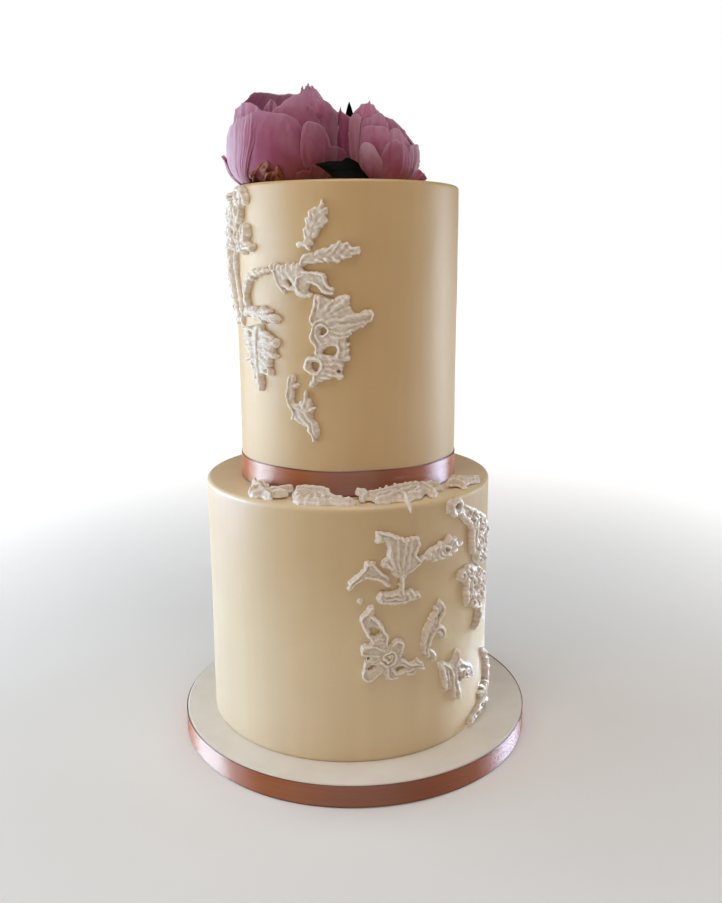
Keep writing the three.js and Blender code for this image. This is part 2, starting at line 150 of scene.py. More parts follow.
def add(nt, kind, **props):
    n = nt.nodes.new(kind)
    for k, v in props.items():
        if k.startswith("in_"):
            n.inputs[k[3:].replace("_", " ")].default_value = v
        else:
            setattr(n, k, v)
    return n


def link(nt, a, b):
    nt.links.new(a, b)


def noise(nt, vec, scale, detail=3.0, rough=0.5):
    n = add(nt, "ShaderNodeTexNoise")
    n.inputs["Scale"].default_value = scale
    n.inputs["Detail"].default_value = detail
    n.inputs["Roughness"].default_value = rough
    if vec is not None:
        link(nt, vec, n.inputs["Vector"])
    return n


def ramp(nt, fac, stops):
    r = add(nt, "ShaderNodeValToRGB")
    e = r.color_ramp.elements
    while len(e) < len(stops):
        e.new(0.5)
    for el, (p, c) in zip(e, stops):
        el.position = p
        el.color = (*c, 1.0) if len(c) == 3 else c
    link(nt, fac, r.inputs["Fac"])
    return r


def mapping(nt, vec, scale):
    m = add(nt, "ShaderNodeMapping")
    m.inputs["Scale"].default_value = scale
    link(nt, vec, m.inputs["Vector"])
    return m.outputs["Vector"]


def remap(nt, val, lo, hi, a=0.0, b=1.0):
    r = add(nt, "ShaderNodeMapRange")
    r.inputs["From Min"].default_value = a
    r.inputs["From Max"].default_value = b
    r.inputs["To Min"].default_value = lo
    r.inputs["To Max"].default_value = hi
    link(nt, val, r.inputs["Value"])
    return r.outputs["Result"]


def mixc(nt, fac, a, b, mode="MIX"):
    m = add(nt, "ShaderNodeMix", data_type="RGBA", blend_type=mode)
    for sock, v in ((m.inputs[6], a), (m.inputs[7], b)):
        if isinstance(v, tuple):
            sock.default_value = (*v, 1.0)
        else:
            link(nt, v, sock)
    if isinstance(fac, float):
        m.inputs[0].default_value = fac
    else:
        link(nt, fac, m.inputs[0])
    return m.outputs[2]


def bump(nt, height, strength, distance, normal=None):
    b = add(nt, "ShaderNodeBump")
    b.inputs["Strength"].default_value = strength
    b.inputs["Distance"].default_value = distance
    link(nt, height, b.inputs["Height"])
    if normal is not None:
        link(nt, normal, b.inputs["Normal"])
    return b.outputs["Normal"]


def icing_material(name, a, b, speck=0.35, gloss=0.95, top_dimming=None):
    m, nt, p = nodes_of(name)
    co = add(nt, "ShaderNodeTexCoord").outputs["Object"]
    big = noise(nt, co, 9.0, 3.0, 0.55)
    col = ramp(nt, big.outputs["Fac"], [(0.32, a), (0.68, b)])
    # faint upright bands left by the smoother
    band = noise(nt, mapping(nt, co, (60.0, 60.0, 2.2)), 1.0, 2.0, 0.5)
    col2 = mixc(nt, remap(nt, band.outputs["Fac"], 0.0, 0.36, 0.35, 0.75), col.outputs["Color"],
                tuple(0.88 * x for x in a))
    if top_dimming:
        # painted shade: the colour is darker and warmer towards the top of the wall
        xyz = add(nt, "ShaderNodeSeparateXYZ")
        link(nt, co, xyz.inputs[0])
        tone = ramp(nt, remap(nt, xyz.outputs["Z"], 0.0, 1.0, 0.0, 0.2), top_dimming)
        col2 = mixc(nt, 1.0, col2, tone.outputs["Color"], "MULTIPLY")
    link(nt, col2, p.inputs["Base Color"])
    fine = noise(nt, co, 420.0, 4.0, 0.6)
    rough = remap(nt, fine.outputs["Fac"], 0.38, 0.50, 0.3, 0.7)
    link(nt, rough, p.inputs["Roughness"])
    pits = add(nt, "ShaderNodeTexVoronoi")
    pits.inputs["Scale"].default_value = 130.0
    link(nt, co, pits.inputs["Vector"])
    pit = remap(nt, pits.outputs["Distance"], 0.0, 1.0, 0.0, 0.22)
    n1 = bump(nt, band.outputs["Fac"], 0.25, 0.0004)
    n2 = bump(nt, fine.outputs["Fac"], 0.28, 0.00025, n1)
    n3 = bump(nt, pit, speck * 0.4, 0.00012, n2)
    link(nt, n3, p.inputs["Normal"])
    p.inputs["Subsurface Weight"].default_value = 0.22
    p.inputs["Subsurface Radius"].default_value = (0.9, 0.62, 0.4)
    p.inputs["Subsurface Scale"].default_value = 0.006
    p.inputs["Specular IOR Level"].default_value = gloss
    return m


def ribbon_material():
    m, nt, p = nodes_of("satin_ribbon")
    uv = add(nt, "ShaderNodeUVMap", uv_map="UVMap").outputs["UV"]
    thread = noise(nt, mapping(nt, uv, (0.05, 5.0, 1.0)), 1.0, 3.0, 0.65)
    broad = noise(nt, mapping(nt, uv, (0.012, 0.5, 1.0)), 1.0, 2.0, 0.5)
    col = ramp(nt, thread.outputs["Fac"], [(0.3, (0.30, 0.078, 0.018)), (0.7, (0.38, 0.11, 0.035))])
    col2 = mixc(nt, remap(nt, broad.outputs["Fac"], 0.0, 0.5, 0.3, 0.75), col.outputs["Color"], (0.40, 0.12, 0.05))
    # a darker line along both edges (V runs 0..1 across the ribbon in its own channel)
    edge = add(nt, "ShaderNodeAttribute", attribute_name="tint").outputs["Fac"]
    col3 = mixc(nt, edge, col2, (0.15, 0.035, 0.015))
    link(nt, col3, p.inputs["Base Color"])
    rough = remap(nt, thread.outputs["Fac"], 0.36, 0.42, 0.25, 0.75)
    link(nt, rough, p.inputs["Roughness"])
    # satin floats lie over each other like shingles, lower edges proud
    ply = add(nt, "ShaderNodeTexWave", wave_type="BANDS", bands_direction="Y", wave_profile="SAW")
    ply.inputs["Scale"].default_value = 1.0
    link(nt, mapping(nt, uv, (0.0, -0.785, 1.0)), ply.inputs["Vector"])
    n0 = bump(nt, ply.outputs["Fac"], 1.0, 0.00028)
    weave = noise(nt, mapping(nt, uv, (0.04, 3.4, 1.0)), 1.0, 2.0, 0.6)
    n1 = bump(nt, weave.outputs["Fac"], 0.4, 0.0002, n0)
    n2 = bump(nt, broad.outputs["Fac"], 0.25, 0.0006, n1)
    link(nt, n2, p.inputs["Normal"])
    tan = add(nt, "ShaderNodeTangent", direction_type="RADIAL", axis="Z")
    link(nt, tan.outputs["Tangent"], p.inputs["Tangent"])
    p.inputs["Anisotropic"].default_value = 1.0
    p.inputs["Anisotropic Rotation"].default_value = 0.25
    p.inputs["IOR"].default_value = 1.7
    p.inputs["Specular IOR Level"].default_value = 0.62
    p.inputs["Specular Tint"].default_value = (1.0, 0.95, 0.97, 1.0)
    return m


def trim_material():
    m, nt, p = nodes_of("moulded_sugar")
    co = add(nt, "ShaderNodeTexCoord").outputs["Object"]
    big = noise(nt, co, 60.0, 3.0, 0.55)
    col = ramp(nt, big.outputs["Fac"], [(0.3, (0.80, 0.715, 0.615)), (0.7, (0.88, 0.805, 0.71))])
    geo = add(nt, "ShaderNodeNewGeometry")
    # painted shade: darker, creamier colour in the hollows
    hollow_dimming = ramp(nt, geo.outputs["Pointiness"], [(0.43, (0.0, 0.0, 0.0)), (0.535, (1.0, 1.0, 1.0))])
    col2 = mixc(nt, hollow_dimming.outputs["Color"], (0.47, 0.355, 0.25), col.outputs["Color"])
    # painted highlight: paler, near-white colour on the ridges
    ridge_highlight = ramp(nt, geo.outputs["Pointiness"], [(0.52, (0.0, 0.0, 0.0)), (0.59, (1.0, 1.0, 1.0))])
    col3 = mixc(nt, remap(nt, ridge_highlight.outputs["Color"], 0.0, 0.95), col2, (0.985, 0.945, 0.885))
    link(nt, col3, p.inputs["Base Color"])
    fine = noise(nt, co, 700.0, 3.0, 0.6)
    link(nt, remap(nt, fine.outputs["Fac"], 0.40, 0.54, 0.3, 0.7), p.inputs["Roughness"])
    n1 = bump(nt, fine.outputs["Fac"], 0.3, 0.00015)
    link(nt, n1, p.inputs["Normal"])
    p.inputs["Subsurface Weight"].default_value = 0.15
    p.inputs["Subsurface Radius"].default_value = (1.0, 0.75, 0.55)
    p.inputs["Subsurface Scale"].default_value = 0.002
    p.inputs["Specular IOR Level"].default_value = 0.6
    return m


def petal_material():
    """tint: r = distance to the petal's edge, g = height in the petal, lowered on petals in shadow as painted shade, b
    = paleness: the petal's own paler tint, partly painted light.
    """
    m, nt, p = nodes_of("peony_petal")
    tint = add(nt, "ShaderNodeAttribute", attribute_name="tint")
    sep = add(nt, "ShaderNodeSeparateColor")
    link(nt, tint.outputs["Color"], sep.inputs["Color"])
    uv = add(nt, "ShaderNodeUVMap", uv_map="UVMap").outputs["UV"]
    vein = noise(nt, mapping(nt, uv, (22.0, 1.6, 1.0)), 1.0, 5.0, 0.66)
    blot = noise(nt, mapping(nt, uv, (3.0, 2.4, 1.0)), 1.0, 3.0, 0.55)
    # painted shade: the colour runs darker towards the petal's foot and lighter towards its top
    base = ramp(nt, sep.outputs["Green"], [(0.0, (0.29, 0.09, 0.12)), (0.3, (0.345, 0.072, 0.148)),
                                           (0.72, (0.388, 0.102, 0.198)), (1.0, (0.475, 0.195, 0.318))])
    c1 = mixc(nt, remap(nt, vein.outputs["Fac"], 0.0, 0.20, 0.35, 0.75), base.outputs["Color"], (0.25, 0.055, 0.12))
    c2 = mixc(nt, remap(nt, blot.outputs["Fac"], 0.0, 0.35, 0.4, 0.8), c1, (0.56, 0.31, 0.43))
    rim = ramp(nt, sep.outputs["Red"], [(0.0, (1.0, 1.0, 1.0)), (0.40, (0.0, 0.0, 0.0))])
    c3 = mixc(nt, remap(nt, rim.outputs["Color"], 0.0, 0.10), c2, (0.62, 0.40, 0.52))
    # paleness: the petal's own paler tint, and painted light where it fades across the petal or up from its foot
    c4 = mixc(nt, sep.outputs["Blue"], c3, (0.66, 0.42, 0.53))
    link(nt, c4, p.inputs["Base Color"])
    link(nt, remap(nt, vein.outputs["Fac"], 0.42, 0.62, 0.3, 0.7), p.inputs["Roughness"])
    n1 = bump(nt, vein.outputs["Fac"], 0.22, 0.0005)
    n2 = bump(nt, blot.outputs["Fac"], 0.4, 0.0022, n1)
    link(nt, n2, p.inputs["Normal"])
    p.inputs["Subsurface Weight"].default_value = 0.25
    p.inputs["Subsurface Radius"].default_value = (1.0, 0.45, 0.6)
    p.inputs["Subsurface Scale"].default_value = 0.004
    p.inputs["Sheen Weight"].default_value = 0.35
    p.inputs["Sheen Roughness"].default_value = 0.45
    p.inputs["Sheen Tint"].default_value = (0.95, 0.85, 1.0, 1.0)
    p.inputs["Specular IOR Level"].default_value = 0.3
    return m


def wilted_material():
    m, nt, p = nodes_of("wilted_petal")
    co = add(nt, "ShaderNodeTexCoord").outputs["Object"]
    a = noise(nt, co, 240.0, 4.0, 0.6)
    col = ramp(nt, a.outputs["Fac"], [(0.3, (0.14, 0.036, 0.02)), (0.46, (0.32, 0.105, 0.055)), (0.60, (0.45, 0.19, 0.115)), (0.76, (0.60, 0.33, 0.25))])
    sep = add(nt, "ShaderNodeSeparateColor")
    link(nt, add(nt, "ShaderNodeAttribute", attribute_name="tint").outputs["Color"], sep.inputs["Color"])
    # painted shade: the colour darkens towards the petal's foot, where it tucks under the bloom
    low = ramp(nt, sep.outputs["Green"], [(0.15, (1.0, 1.0, 1.0)), (0.75, (0.0, 0.0, 0.0))])
    col2 = mixc(nt, remap(nt, low.outputs["Color"], 0.0, 0.75), col.outputs["Color"], (0.10, 0.025, 0.015))
    link(nt, col2, p.inputs["Base Color"])
    link(nt, remap(nt, a.outputs["Fac"], 0.5, 0.75), p.inputs["Roughness"])
    link(nt, bump(nt, a.outputs["Fac"], 0.6, 0.001), p.inputs["Normal"])
    return m


def leaf_material():
    m, nt, p = nodes_of("peony_leaf")
    uv = add(nt, "ShaderNodeUVMap", uv_map="UVMap").outputs["UV"]
    w = add(nt, "ShaderNodeTexWave", wave_type="BANDS", bands_direction="Y", wave_profile="TRI")
    w.inputs["Scale"].default_value = 4.0
    w.inputs["Distortion"].default_value = 2.4
    link(nt, uv, w.inputs["Vector"])
    a = noise(nt, mapping(nt, uv, (9.0, 9.0, 1.0)), 1.0, 4.0, 0.6)
    # painted shade: the leaf is coloured near black, far darker than its own green, standing in for the shadow it lies
    # in
    col = ramp(nt, a.outputs["Fac"], [(0.3, (0.001, 0.0016, 0.001)), (0.7, (0.0025, 0.004, 0.0022))])
    col2 = mixc(nt, remap(nt, w.outputs["Fac"], 0.0, 0.25, 0.85, 1.0), col.outputs["Color"], (0.005, 0.0075, 0.004))
    link(nt, col2, p.inputs["Base Color"])
    link(nt, remap(nt, a.outputs["Fac"], 0.48, 0.62), p.inputs["Roughness"])
    link(nt, bump(nt, w.outputs["Fac"], 0.15, 0.0005), p.inputs["Normal"])
    p.inputs["Specular IOR Level"].default_value = 0.05
    return m


# painted shade: the lower tier's colour is darkened and warmed towards the top of its wall
M_ICING = icing_material("ivory_icing", (0.80, 0.634, 0.392), (0.842, 0.68, 0.431),
                         top_dimming=[(0.15, (1.0, 1.0, 1.0)), (0.5, (0.94, 0.93, 0.88)), (0.8, (0.83, 0.76, 0.64)),
                                 (0.935, (0.82, 0.75, 0.63)), (0.952, (1.0, 1.0, 1.0))])
# painted shade: the upper tier uses a darker, more golden copy of the same icing, standing in for the dimmer, warmer
# light on it
M_TOP_TIER_DIMMED = icing_material("ivory_icing_top_tier_dimmed", (0.64, 0.437, 0.208), (0.685, 0.48, 0.243))
M_BASE = icing_material("ivory_icing_base", (0.85, 0.795, 0.715), (0.895, 0.85, 0.78), speck=0.8, gloss=0.6)
M_RIBBON = ribbon_material()
M_TRIM = trim_material()
M_PETAL = petal_material()
M_WILT = wilted_material()
M_SHADOWED_LEAF = leaf_material()


def done(ob, node):
    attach(ob, "root")
    if node:
        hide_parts(node)
    return ob


# ---- iced bodies ------------------------------------------------------------
def iced_round(name, node, mat, cx, r, z0, z1, rim, seed, lump=0.25, segs=288, foot=0.6, plain=0.0):
    """Sugar-paste cylinder: hand-smoothed wall, soft rolled rim, a slightly uneven top; true to height plain, where a ribbon lies."""
    prof = [(0.0, z0), (r * 0.5, z0), (r - foot, z0), (r, z0 + foot)]
    rows = max(4, int((z1 - rim - z0) / 2.5))
    prof += [(r, z0 + foot + (z1 - rim - z0 - foot) * i / rows) for i in range(1, rows + 1)]
    for i in range(1, 9):
        a = i / 8 * math.pi / 2
        prof.append((r - rim + rim * math.sin(math.pi / 2 - a), z1 - rim + rim * math.sin(a)))
    for q in (0.93, 0.86, 0.78, 0.68, 0.56, 0.42, 0.27, 0.12):
        prof.append(((r - rim) * q, z1))
    prof.append((0.0, z1))
    prof = np.array(prof)
    th = np.linspace(0, 2 * math.pi, segs, endpoint=False)
    wa, wb, wt = waves(seed, 9, 5, 0.06), waves(seed + 1, 12, 16, 0.16), waves(seed + 2, 8, 4, 0.10)
    V = []
    for rr, zz in prof:
        side = 1.0 if (rr > r - 0.01 and zz > z0 + foot) else 0.0
        w = np.clip((zz - z0 - plain) / 8.0, 0, 1) * np.clip(rr / r, 0, 1) ** 4
        rad = rr + w * lump * (0.7 * wa(th, np.full_like(th, zz), True) + 0.3 * wb(th, np.full_like(th, zz), True))
        top = np.clip((zz - (z1 - rim)) / rim, 0, 1)
        zc = zz + top * 0.22 * wt(th, np.full_like(th, rr), True) * np.clip(rr / r, 0.0, 1.0)
        V.append(np.stack([cx + rad * np.sin(th), -rad * np.cos(th), np.broadcast_to(zc, th.shape)], -1))
    V = np.array(V)
    ob = make(name, V.reshape(-1, 3), grid_faces(len(prof), segs, wrap=True), mat)
    return done(ob, node)


iced_round("icing_base", "iced_base", M_BASE, 0.0, BASE_R, 0.0, BASE_H, 1.7, 11, lump=0.15, plain=BASE_H - 2.0)
LOWER = iced_round("icing_lower", "lower_tier", M_ICING, TIER_X, LOWER_R, LOWER_Z - 0.3, LEDGE_Z, 2.8, 21)
iced_round("icing_upper", "upper_tier", M_TOP_TIER_DIMMED, TIER_X, UPPER_R, UPPER_Z - 0.3, CROWN_Z, 2.2, 31, plain=17.0)


def ribbon(name, node, cx, r, z0, z1, seed, seam_deg=172.0, lap=15.0):
    """Satin band wrapped once round with its end lapped over its start at the back."""
    n, rows = 420, 14
    total = 2 * math.pi + lap / r
    a = np.linspace(0, total, n) + math.radians(seam_deg)
    v = np.linspace(0, 1, rows)
    wa, wb = waves(seed, 8, 6, 1.2), waves(seed + 5, 6, 9, 0.5)
    A, Vv = np.meshgrid(a, v)
    lift = np.clip((A - a[0] - 2 * math.pi + 0.02) / (0.6 * lap / r), 0, 1) * 0.42
    out = 0.42 + lift + 0.10 * wa(A, Vv * 3) * (0.3 + np.abs(2 * Vv - 1)) + 0.05 * wb(A, Vv)
    out = np.maximum(out, 0.22 + lift)
    zz = z0 + (z1 - z0) * Vv + 0.16 * wb(A, Vv * 0.2)
    rad = r + out
    P = np.stack([cx + rad * np.sin(A), -rad * np.cos(A), zz], -1)
    Q = P.copy()
    rin = rad - 0.22
    Q[..., 0] = cx + rin * np.sin(A)
    Q[..., 1] = -rin * np.cos(A)
    F1 = grid_faces(rows, n)
    N = rows * n
    F2 = F1[:, ::-1] + N
    idx = np.arange(N).reshape(rows, n)
    ring = np.concatenate([idx[0, :-1], idx[:-1, -1], idx[-1, :0:-1], idx[:0:-1, 0]])
    nxt = np.roll(ring, -1)
    F3 = np.stack([ring, ring + N, nxt + N, nxt], -1)
    uv = np.stack([A * r, zz], -1).reshape(-1, 2)
    edge = np.clip((np.abs(2 * Vv - 1) - 0.9) / 0.1, 0, 1) ** 1.5
    tint = np.stack([edge, edge, edge, np.ones_like(edge)], -1).reshape(-1, 4)
    ob = make(name, np.vstack([P.reshape(-1, 3), Q.reshape(-1, 3)]), [F1, F2, F3], M_RIBBON,
              uv=np.vstack([uv, uv]), tint=np.vstack([tint, tint]))
    return done(ob, node)


BANDS = [ribbon("satin_tier", "tier_ribbon", TIER_X, UPPER_R, UPPER_Z + 0.1, UPPER_Z + 16.8, 41),
         ribbon("satin_base", "base_ribbon", 0.0, BASE_R, 0.5, 16.0, 51)]


# ---- moulded sugar trim -----------------------------------------------------
# Each piece is drawn as strokes on a flat sheet (mm), turned into a relief of rounded,
# grooved and fluted forms, cut out along its outline and laid on the wall or ledge.
EDGE = 0.30


class Relief:
    def __init__(self, h=3.6, wander=1.0):
        self.h, self.wander = 1.18 * h, wander
        self.strokes = []
        self.holes = []
        self.sheets = []

    def stroke(self, pts, w, h=1.0, prof="dome", n=44, closed=False):
        P = spline(list(pts) + [pts[0]] if closed else pts, n)
        t = np.linspace(0, 1, len(P))
        w = np.atleast_1d(np.asarray(w, float))
        h = np.atleast_1d(np.asarray(h, float))
        W = np.interp(t, np.linspace(0, 1, len(w)), w) if len(w) > 1 else np.full(len(P), w[0])
        H = np.interp(t, np.linspace(0, 1, len(h)), h) if len(h) > 1 else np.full(len(P), h[0])
        self.strokes.append((P, W, H * self.h, prof))
        return self

    def bead(self, c, r, h=1.0):
        self.strokes.append((np.array([c], float), np.array([r]), np.array([h * self.h]), "dome"))
        return self

    def ring(self, c, r, w, h=0.8, prof="dome"):
        a = np.linspace(0, 2 * math.pi, 37)
        P = np.stack([c[0] + r * np.cos(a), c[1] + r * np.sin(a)], -1)
        self.strokes.append((P, np.full(len(P), w), np.full(len(P), h * self.h), prof))
        return self

    def hole(self, c, r):
        self.holes.append((c, r))
        return self

    def sheet(self, outline, h=0.55, edge=2.3, holes=()):
        """Pillowed body inside a smooth closed outline, with openings."""
        self.sheets.append((self.loop(outline), 1.36 * h * self.h, edge, [self.loop(q) for q in holes]))
        return self

    def lace(self, outline, seed, n, size=(1.8, 3.2), w=(0.75, 1.15), h=(0.8, 1.1), gap=2.9, open_=0.2):
        """Small curls, beads and openings scattered inside an outline."""
        rng = np.random.default_rng(seed)
        P = self.loop(outline)
        lo, hi = P.min(0), P.max(0)
        spots = []
        for _ in range(60 * n):
            c = rng.uniform(lo, hi)
            if self.signed(np.array([[c[0]]]), np.array([[c[1]]]), P)[0, 0] > 1.4 and all(np.hypot(*(c - q)) > gap for q in spots):
                spots.append(c)
            if len(spots) == n:
                break
        for c in spots:
            kind, r, a = rng.uniform(), rng.uniform(*size), rng.uniform(0, 360)
            if kind < open_:
                self.hole(tuple(c), 0.36 * r)
            elif kind < 0.8:
                self.volute(tuple(c), r, rng.uniform(0.6, 1.05), a, rng.uniform(*w), rng.uniform(*h), ccw=rng.uniform() < 0.5)
            else:
                self.bead(tuple(c), 0.62 * r, rng.uniform(*h))
        return self

    @staticmethod
    def loop(pts, per=5):
        p = np.asarray(pts, float)
        a, b, c, d = np.roll(p, 1, 0), p, np.roll(p, -1, 0), np.roll(p, -2, 0)
        out = []
        for i in range(per):
            t = i / per
            out.append(0.5 * (2 * b + (c - a) * t + (2 * a - 5 * b + 4 * c - d) * t * t + (3 * b - a - 3 * c + d) * t ** 3))
        return np.stack(out, 1).reshape(-1, 2)

    @staticmethod
    def signed(X, Y, P):
        """Distance to a closed outline, positive inside."""
        d2 = np.full(X.shape, 1e18)
        odd = np.zeros(X.shape, bool)
        for p, q in zip(P, np.roll(P, -1, 0)):
            s = q - p
            t = np.clip(((X - p[0]) * s[0] + (Y - p[1]) * s[1]) / max(1e-12, s @ s), 0, 1)
            d2 = np.minimum(d2, (X - p[0] - t * s[0]) ** 2 + (Y - p[1] - t * s[1]) ** 2)
            if s[1] != 0:
                odd ^= ((p[1] > Y) != (q[1] > Y)) & (X < p[0] + (Y - p[1]) * s[0] / s[1])
        d = np.sqrt(d2)
        return np.where(odd, d, -d)

    def volute(self, c, r, turns, start, w, h=0.9, ccw=True, prof="dome"):
        a = np.linspace(0, turns * 2 * math.pi, int(30 * turns) + 6)
        k = 1 - 0.8 * np.linspace(0, 1, len(a)) ** 0.85
        ang = math.radians(start) + (a if ccw else -a)
        P = np.stack([c[0] + r * k * np.cos(ang), c[1] + r * k * np.sin(ang)], -1)
        W = w * (1 - 0.45 * np.linspace(0, 1, len(a)))
        self.strokes.append((P, W, np.full(len(a), h * self.h), prof))
        return self

    def leaf(self, foot, tip, w, lobes=4, bow=0.0, h=1.0, peak=0.55, sweep=48, left=1.0, right=1.0):
        """Acanthus leaf: a stem with pairs of curled lobes that shorten to a pointed tip."""
        foot, tip = np.array(foot, float), np.array(tip, float)
        d = tip - foot
        L = np.linalg.norm(d)
        side = np.array([-d[1], d[0]]) / L
        mid = (foot + tip) / 2 + side * bow * L
        axis = spline([foot, mid, tip], 40)
        self.stroke([tuple(foot), tuple(mid), tuple(tip)], (0.17 * w, 0.2 * w, 0.2 * w, 0.1 * w), (1.0, 1.0, 0.85), "groove")
        for i in range(lobes):
            t = 0.06 + 0.80 * i / max(1, lobes - 1)
            k = int(t * (len(axis) - 1))
            o = axis[k]
            tan = axis[min(k + 2, len(axis) - 1)] - axis[max(k - 2, 0)]
            tan /= np.linalg.norm(tan)
            reach = w * (0.5 + 0.55 * math.exp(-((t - peak) / 0.33) ** 2))
            for sg, kk in ((1, left), (-1, right)):
                nrm = np.array([-tan[1], tan[0]]) * sg
                rr = reach * kk
                ang = math.radians(sweep)
                e = o + rr * (nrm * math.sin(ang) + tan * math.cos(ang)) * 1.05
                m = o + rr * 0.55 * (nrm * math.sin(ang * 1.25) + tan * math.cos(ang * 1.25))
                hw = 0.30 * w * (0.75 + 0.35 * math.exp(-((t - peak) / 0.4) ** 2))
                self.stroke([tuple(o), tuple(m), tuple(e)], (0.7 * hw, hw, 0.42 * hw), (0.55 * h, 0.9 * h, 0.62 * h), "groove", n=18)
        self.stroke([tuple(axis[-12]), tuple(tip)], (0.28 * w, 0.10 * w), (0.85 * h, 0.5 * h), "groove", n=10)
        return self

    def fan(self, hub, a0, a1, rin, radii, h=1.0, spread=1.0, prof="dome"):
        """Shell: flutes from a hub, each a wedge that widens outwards."""
        n = len(radii)
        for i, r in enumerate(radii):
            a = math.radians(a0 + (a1 - a0) * i / (n - 1))
            step = abs(math.radians((a1 - a0) / (n - 1)))
            c, s = math.cos(a), math.sin(a)
            p0 = (hub[0] + rin * c, hub[1] + rin * s)
            p1 = (hub[0] + 0.6 * r * c, hub[1] + 0.6 * r * s)
            wo = 0.56 * spread * step * r
            p2 = (hub[0] + (r - 0.5 * wo) * c, hub[1] + (r - 0.5 * wo) * s)
            self.stroke([p0, p1, p2], (max(0.7, 0.6 * step * rin), 0.56 * spread * step * 0.6 * r, 0.85 * wo),
                        (0.75 * h, 0.9 * h, 1.0 * h), prof, n=22)
        return self

    # -- raster and cut-out --
    def field(self, step, seed=1):
        far = 2 * step + 1.4
        lo = np.min([(P - W[:, None]).min(0) for P, W, H, k in self.strokes] + [q[0].min(0) for q in self.sheets], 0) - far
        hi = np.max([(P + W[:, None]).max(0) for P, W, H, k in self.strokes] + [q[0].max(0) for q in self.sheets], 0) + far
        nx, ny = int((hi[0] - lo[0]) / step) + 2, int((hi[1] - lo[1]) / step) + 2
        xs, ys = lo[0] + step * np.arange(nx), lo[1] + step * np.arange(ny)
        hgt = np.zeros((ny, nx))
        ins = np.full((ny, nx), -9.0)
        X, Y = np.meshgrid(xs, ys)
        # pressed by hand: outlines and ridges wander a little
        wu, wv = waves(seed + 50, 12, 0.9, 0.9), waves(seed + 51, 12, 0.9, 0.9)
        fu, fv = waves(seed + 52, 12, 2.4, 2.4), waves(seed + 53, 12, 2.4, 2.4)
        XW = X + self.wander * (0.42 * wu(X, Y) + 0.18 * fu(X, Y))
        YW = Y + self.wander * (0.42 * wv(X, Y) + 0.18 * fv(X, Y))
        keep = np.full((ny, nx), 9.0)
        for P, h, edge, holes in self.sheets:
            d = self.signed(XW, YW, P)
            x = 1 - np.clip(d / edge, 0, 1)
            f = (0.32 + 0.68 * np.sqrt(np.maximum(0, 1 - x * x))) * h
            hgt = np.maximum(hgt, np.where(d > -1.2 * step, f, 0))
            ins = np.maximum(ins, d)
            for q in holes:
                keep = np.minimum(keep, -self.signed(XW, YW, q))
        for P, W, H, kind in self.strokes:
            a = np.maximum(0, ((P - W[:, None]).min(0) - lo - 1.4) / step - 1).astype(int)
            b = ((P + W[:, None]).max(0) - lo + 1.4) / step + 2
            bx, by = min(nx, int(b[0])), min(ny, int(b[1]))
            X, Y = XW[a[1]:by, a[0]:bx], YW[a[1]:by, a[0]:bx]
            if len(P) == 1:
                d = np.hypot(X - P[0, 0], Y - P[0, 1])
                best, wb, hb = W[0] - d, np.full_like(d, W[0]), np.full_like(d, H[0])
            else:
                best = np.full(X.shape, -1e9)
                wb, hb = np.ones(X.shape), np.zeros(X.shape)
                for i in range(len(P) - 1):
                    s = P[i + 1] - P[i]
                    l2 = max(1e-9, s @ s)
                    t = np.clip(((X - P[i, 0]) * s[0] + (Y - P[i, 1]) * s[1]) / l2, 0, 1)
                    d = np.hypot(X - P[i, 0] - t * s[0], Y - P[i, 1] - t * s[1])
                    w = W[i] + t * (W[i + 1] - W[i])
                    q = w - d
                    up = q > best
                    best = np.where(up, q, best)
                    wb = np.where(up, w, wb)
                    hb = np.where(up, H[i] + t * (H[i + 1] - H[i]), hb)
            x = np.clip(1 - best / wb, 0, 1)
            dome = EDGE + (1 - EDGE) * np.sqrt(np.maximum(0, 1 - x * x))
            if kind == "groove":
                f = dome - 0.20 * np.exp(-(x / 0.22) ** 2)
            elif kind == "channel":
                f = np.where(x < 0.74, 0.62 + 0.30 * np.exp(-((x - 0.74) / 0.22) ** 2),
                             0.40 + 0.52 * np.exp(-((x - 0.74) / 0.19) ** 2))
            elif kind == "ridge":
                f = EDGE + (1 - EDGE) * (1 - x) ** 0.85
            else:
                f = dome
            sub = (slice(a[1], by), slice(a[0], bx))
            new, old = np.where(best > 0, f * hb, np.where(best > -1.2 * step, EDGE * hb, 0)), hgt[sub]
            k = 0.13 * self.h
            m = np.clip(0.5 + 0.5 * (new - old) / k, 0, 1)
            hgt[sub] = np.where((new > 0) & (old > 0), old * (1 - m) + new * m + k * m * (1 - m), np.maximum(new, old))
            ins[sub] = np.maximum(ins[sub], best)
        X, Y = np.meshgrid(xs, ys)
        for c, r in self.holes:
            keep = np.minimum(keep, np.hypot(XW - c[0], YW - c[1]) - r)
        ins = np.minimum(ins, keep)
        x = 1 - np.clip(keep / 1.3, 0, 1)
        hgt = hgt * (0.5 + 0.5 * np.sqrt(np.maximum(0, 1 - x * x)))
        # soften creases as moulded paste does, without drooping at the outline
        mask = (ins > -step).astype(float)
        for _ in range(2):
            num, den = hgt * mask, mask.copy()
            for ax in (0, 1):
                num = 0.25 * np.roll(num, 1, ax) + 0.5 * num + 0.25 * np.roll(num, -1, ax)
                den = 0.25 * np.roll(den, 1, ax) + 0.5 * den + 0.25 * np.roll(den, -1, ax)
            hgt = np.where(mask > 0, num / np.maximum(den, 1e-6), 0)
        l1, l2 = waves(seed + 54, 12, 1.5, 1.5), waves(seed + 55, 12, 3.4, 3.4)
        hgt = hgt + mask * self.h * (0.045 * l1(X, Y) + 0.012 * l2(X, Y))
        return xs, ys, hgt, ins

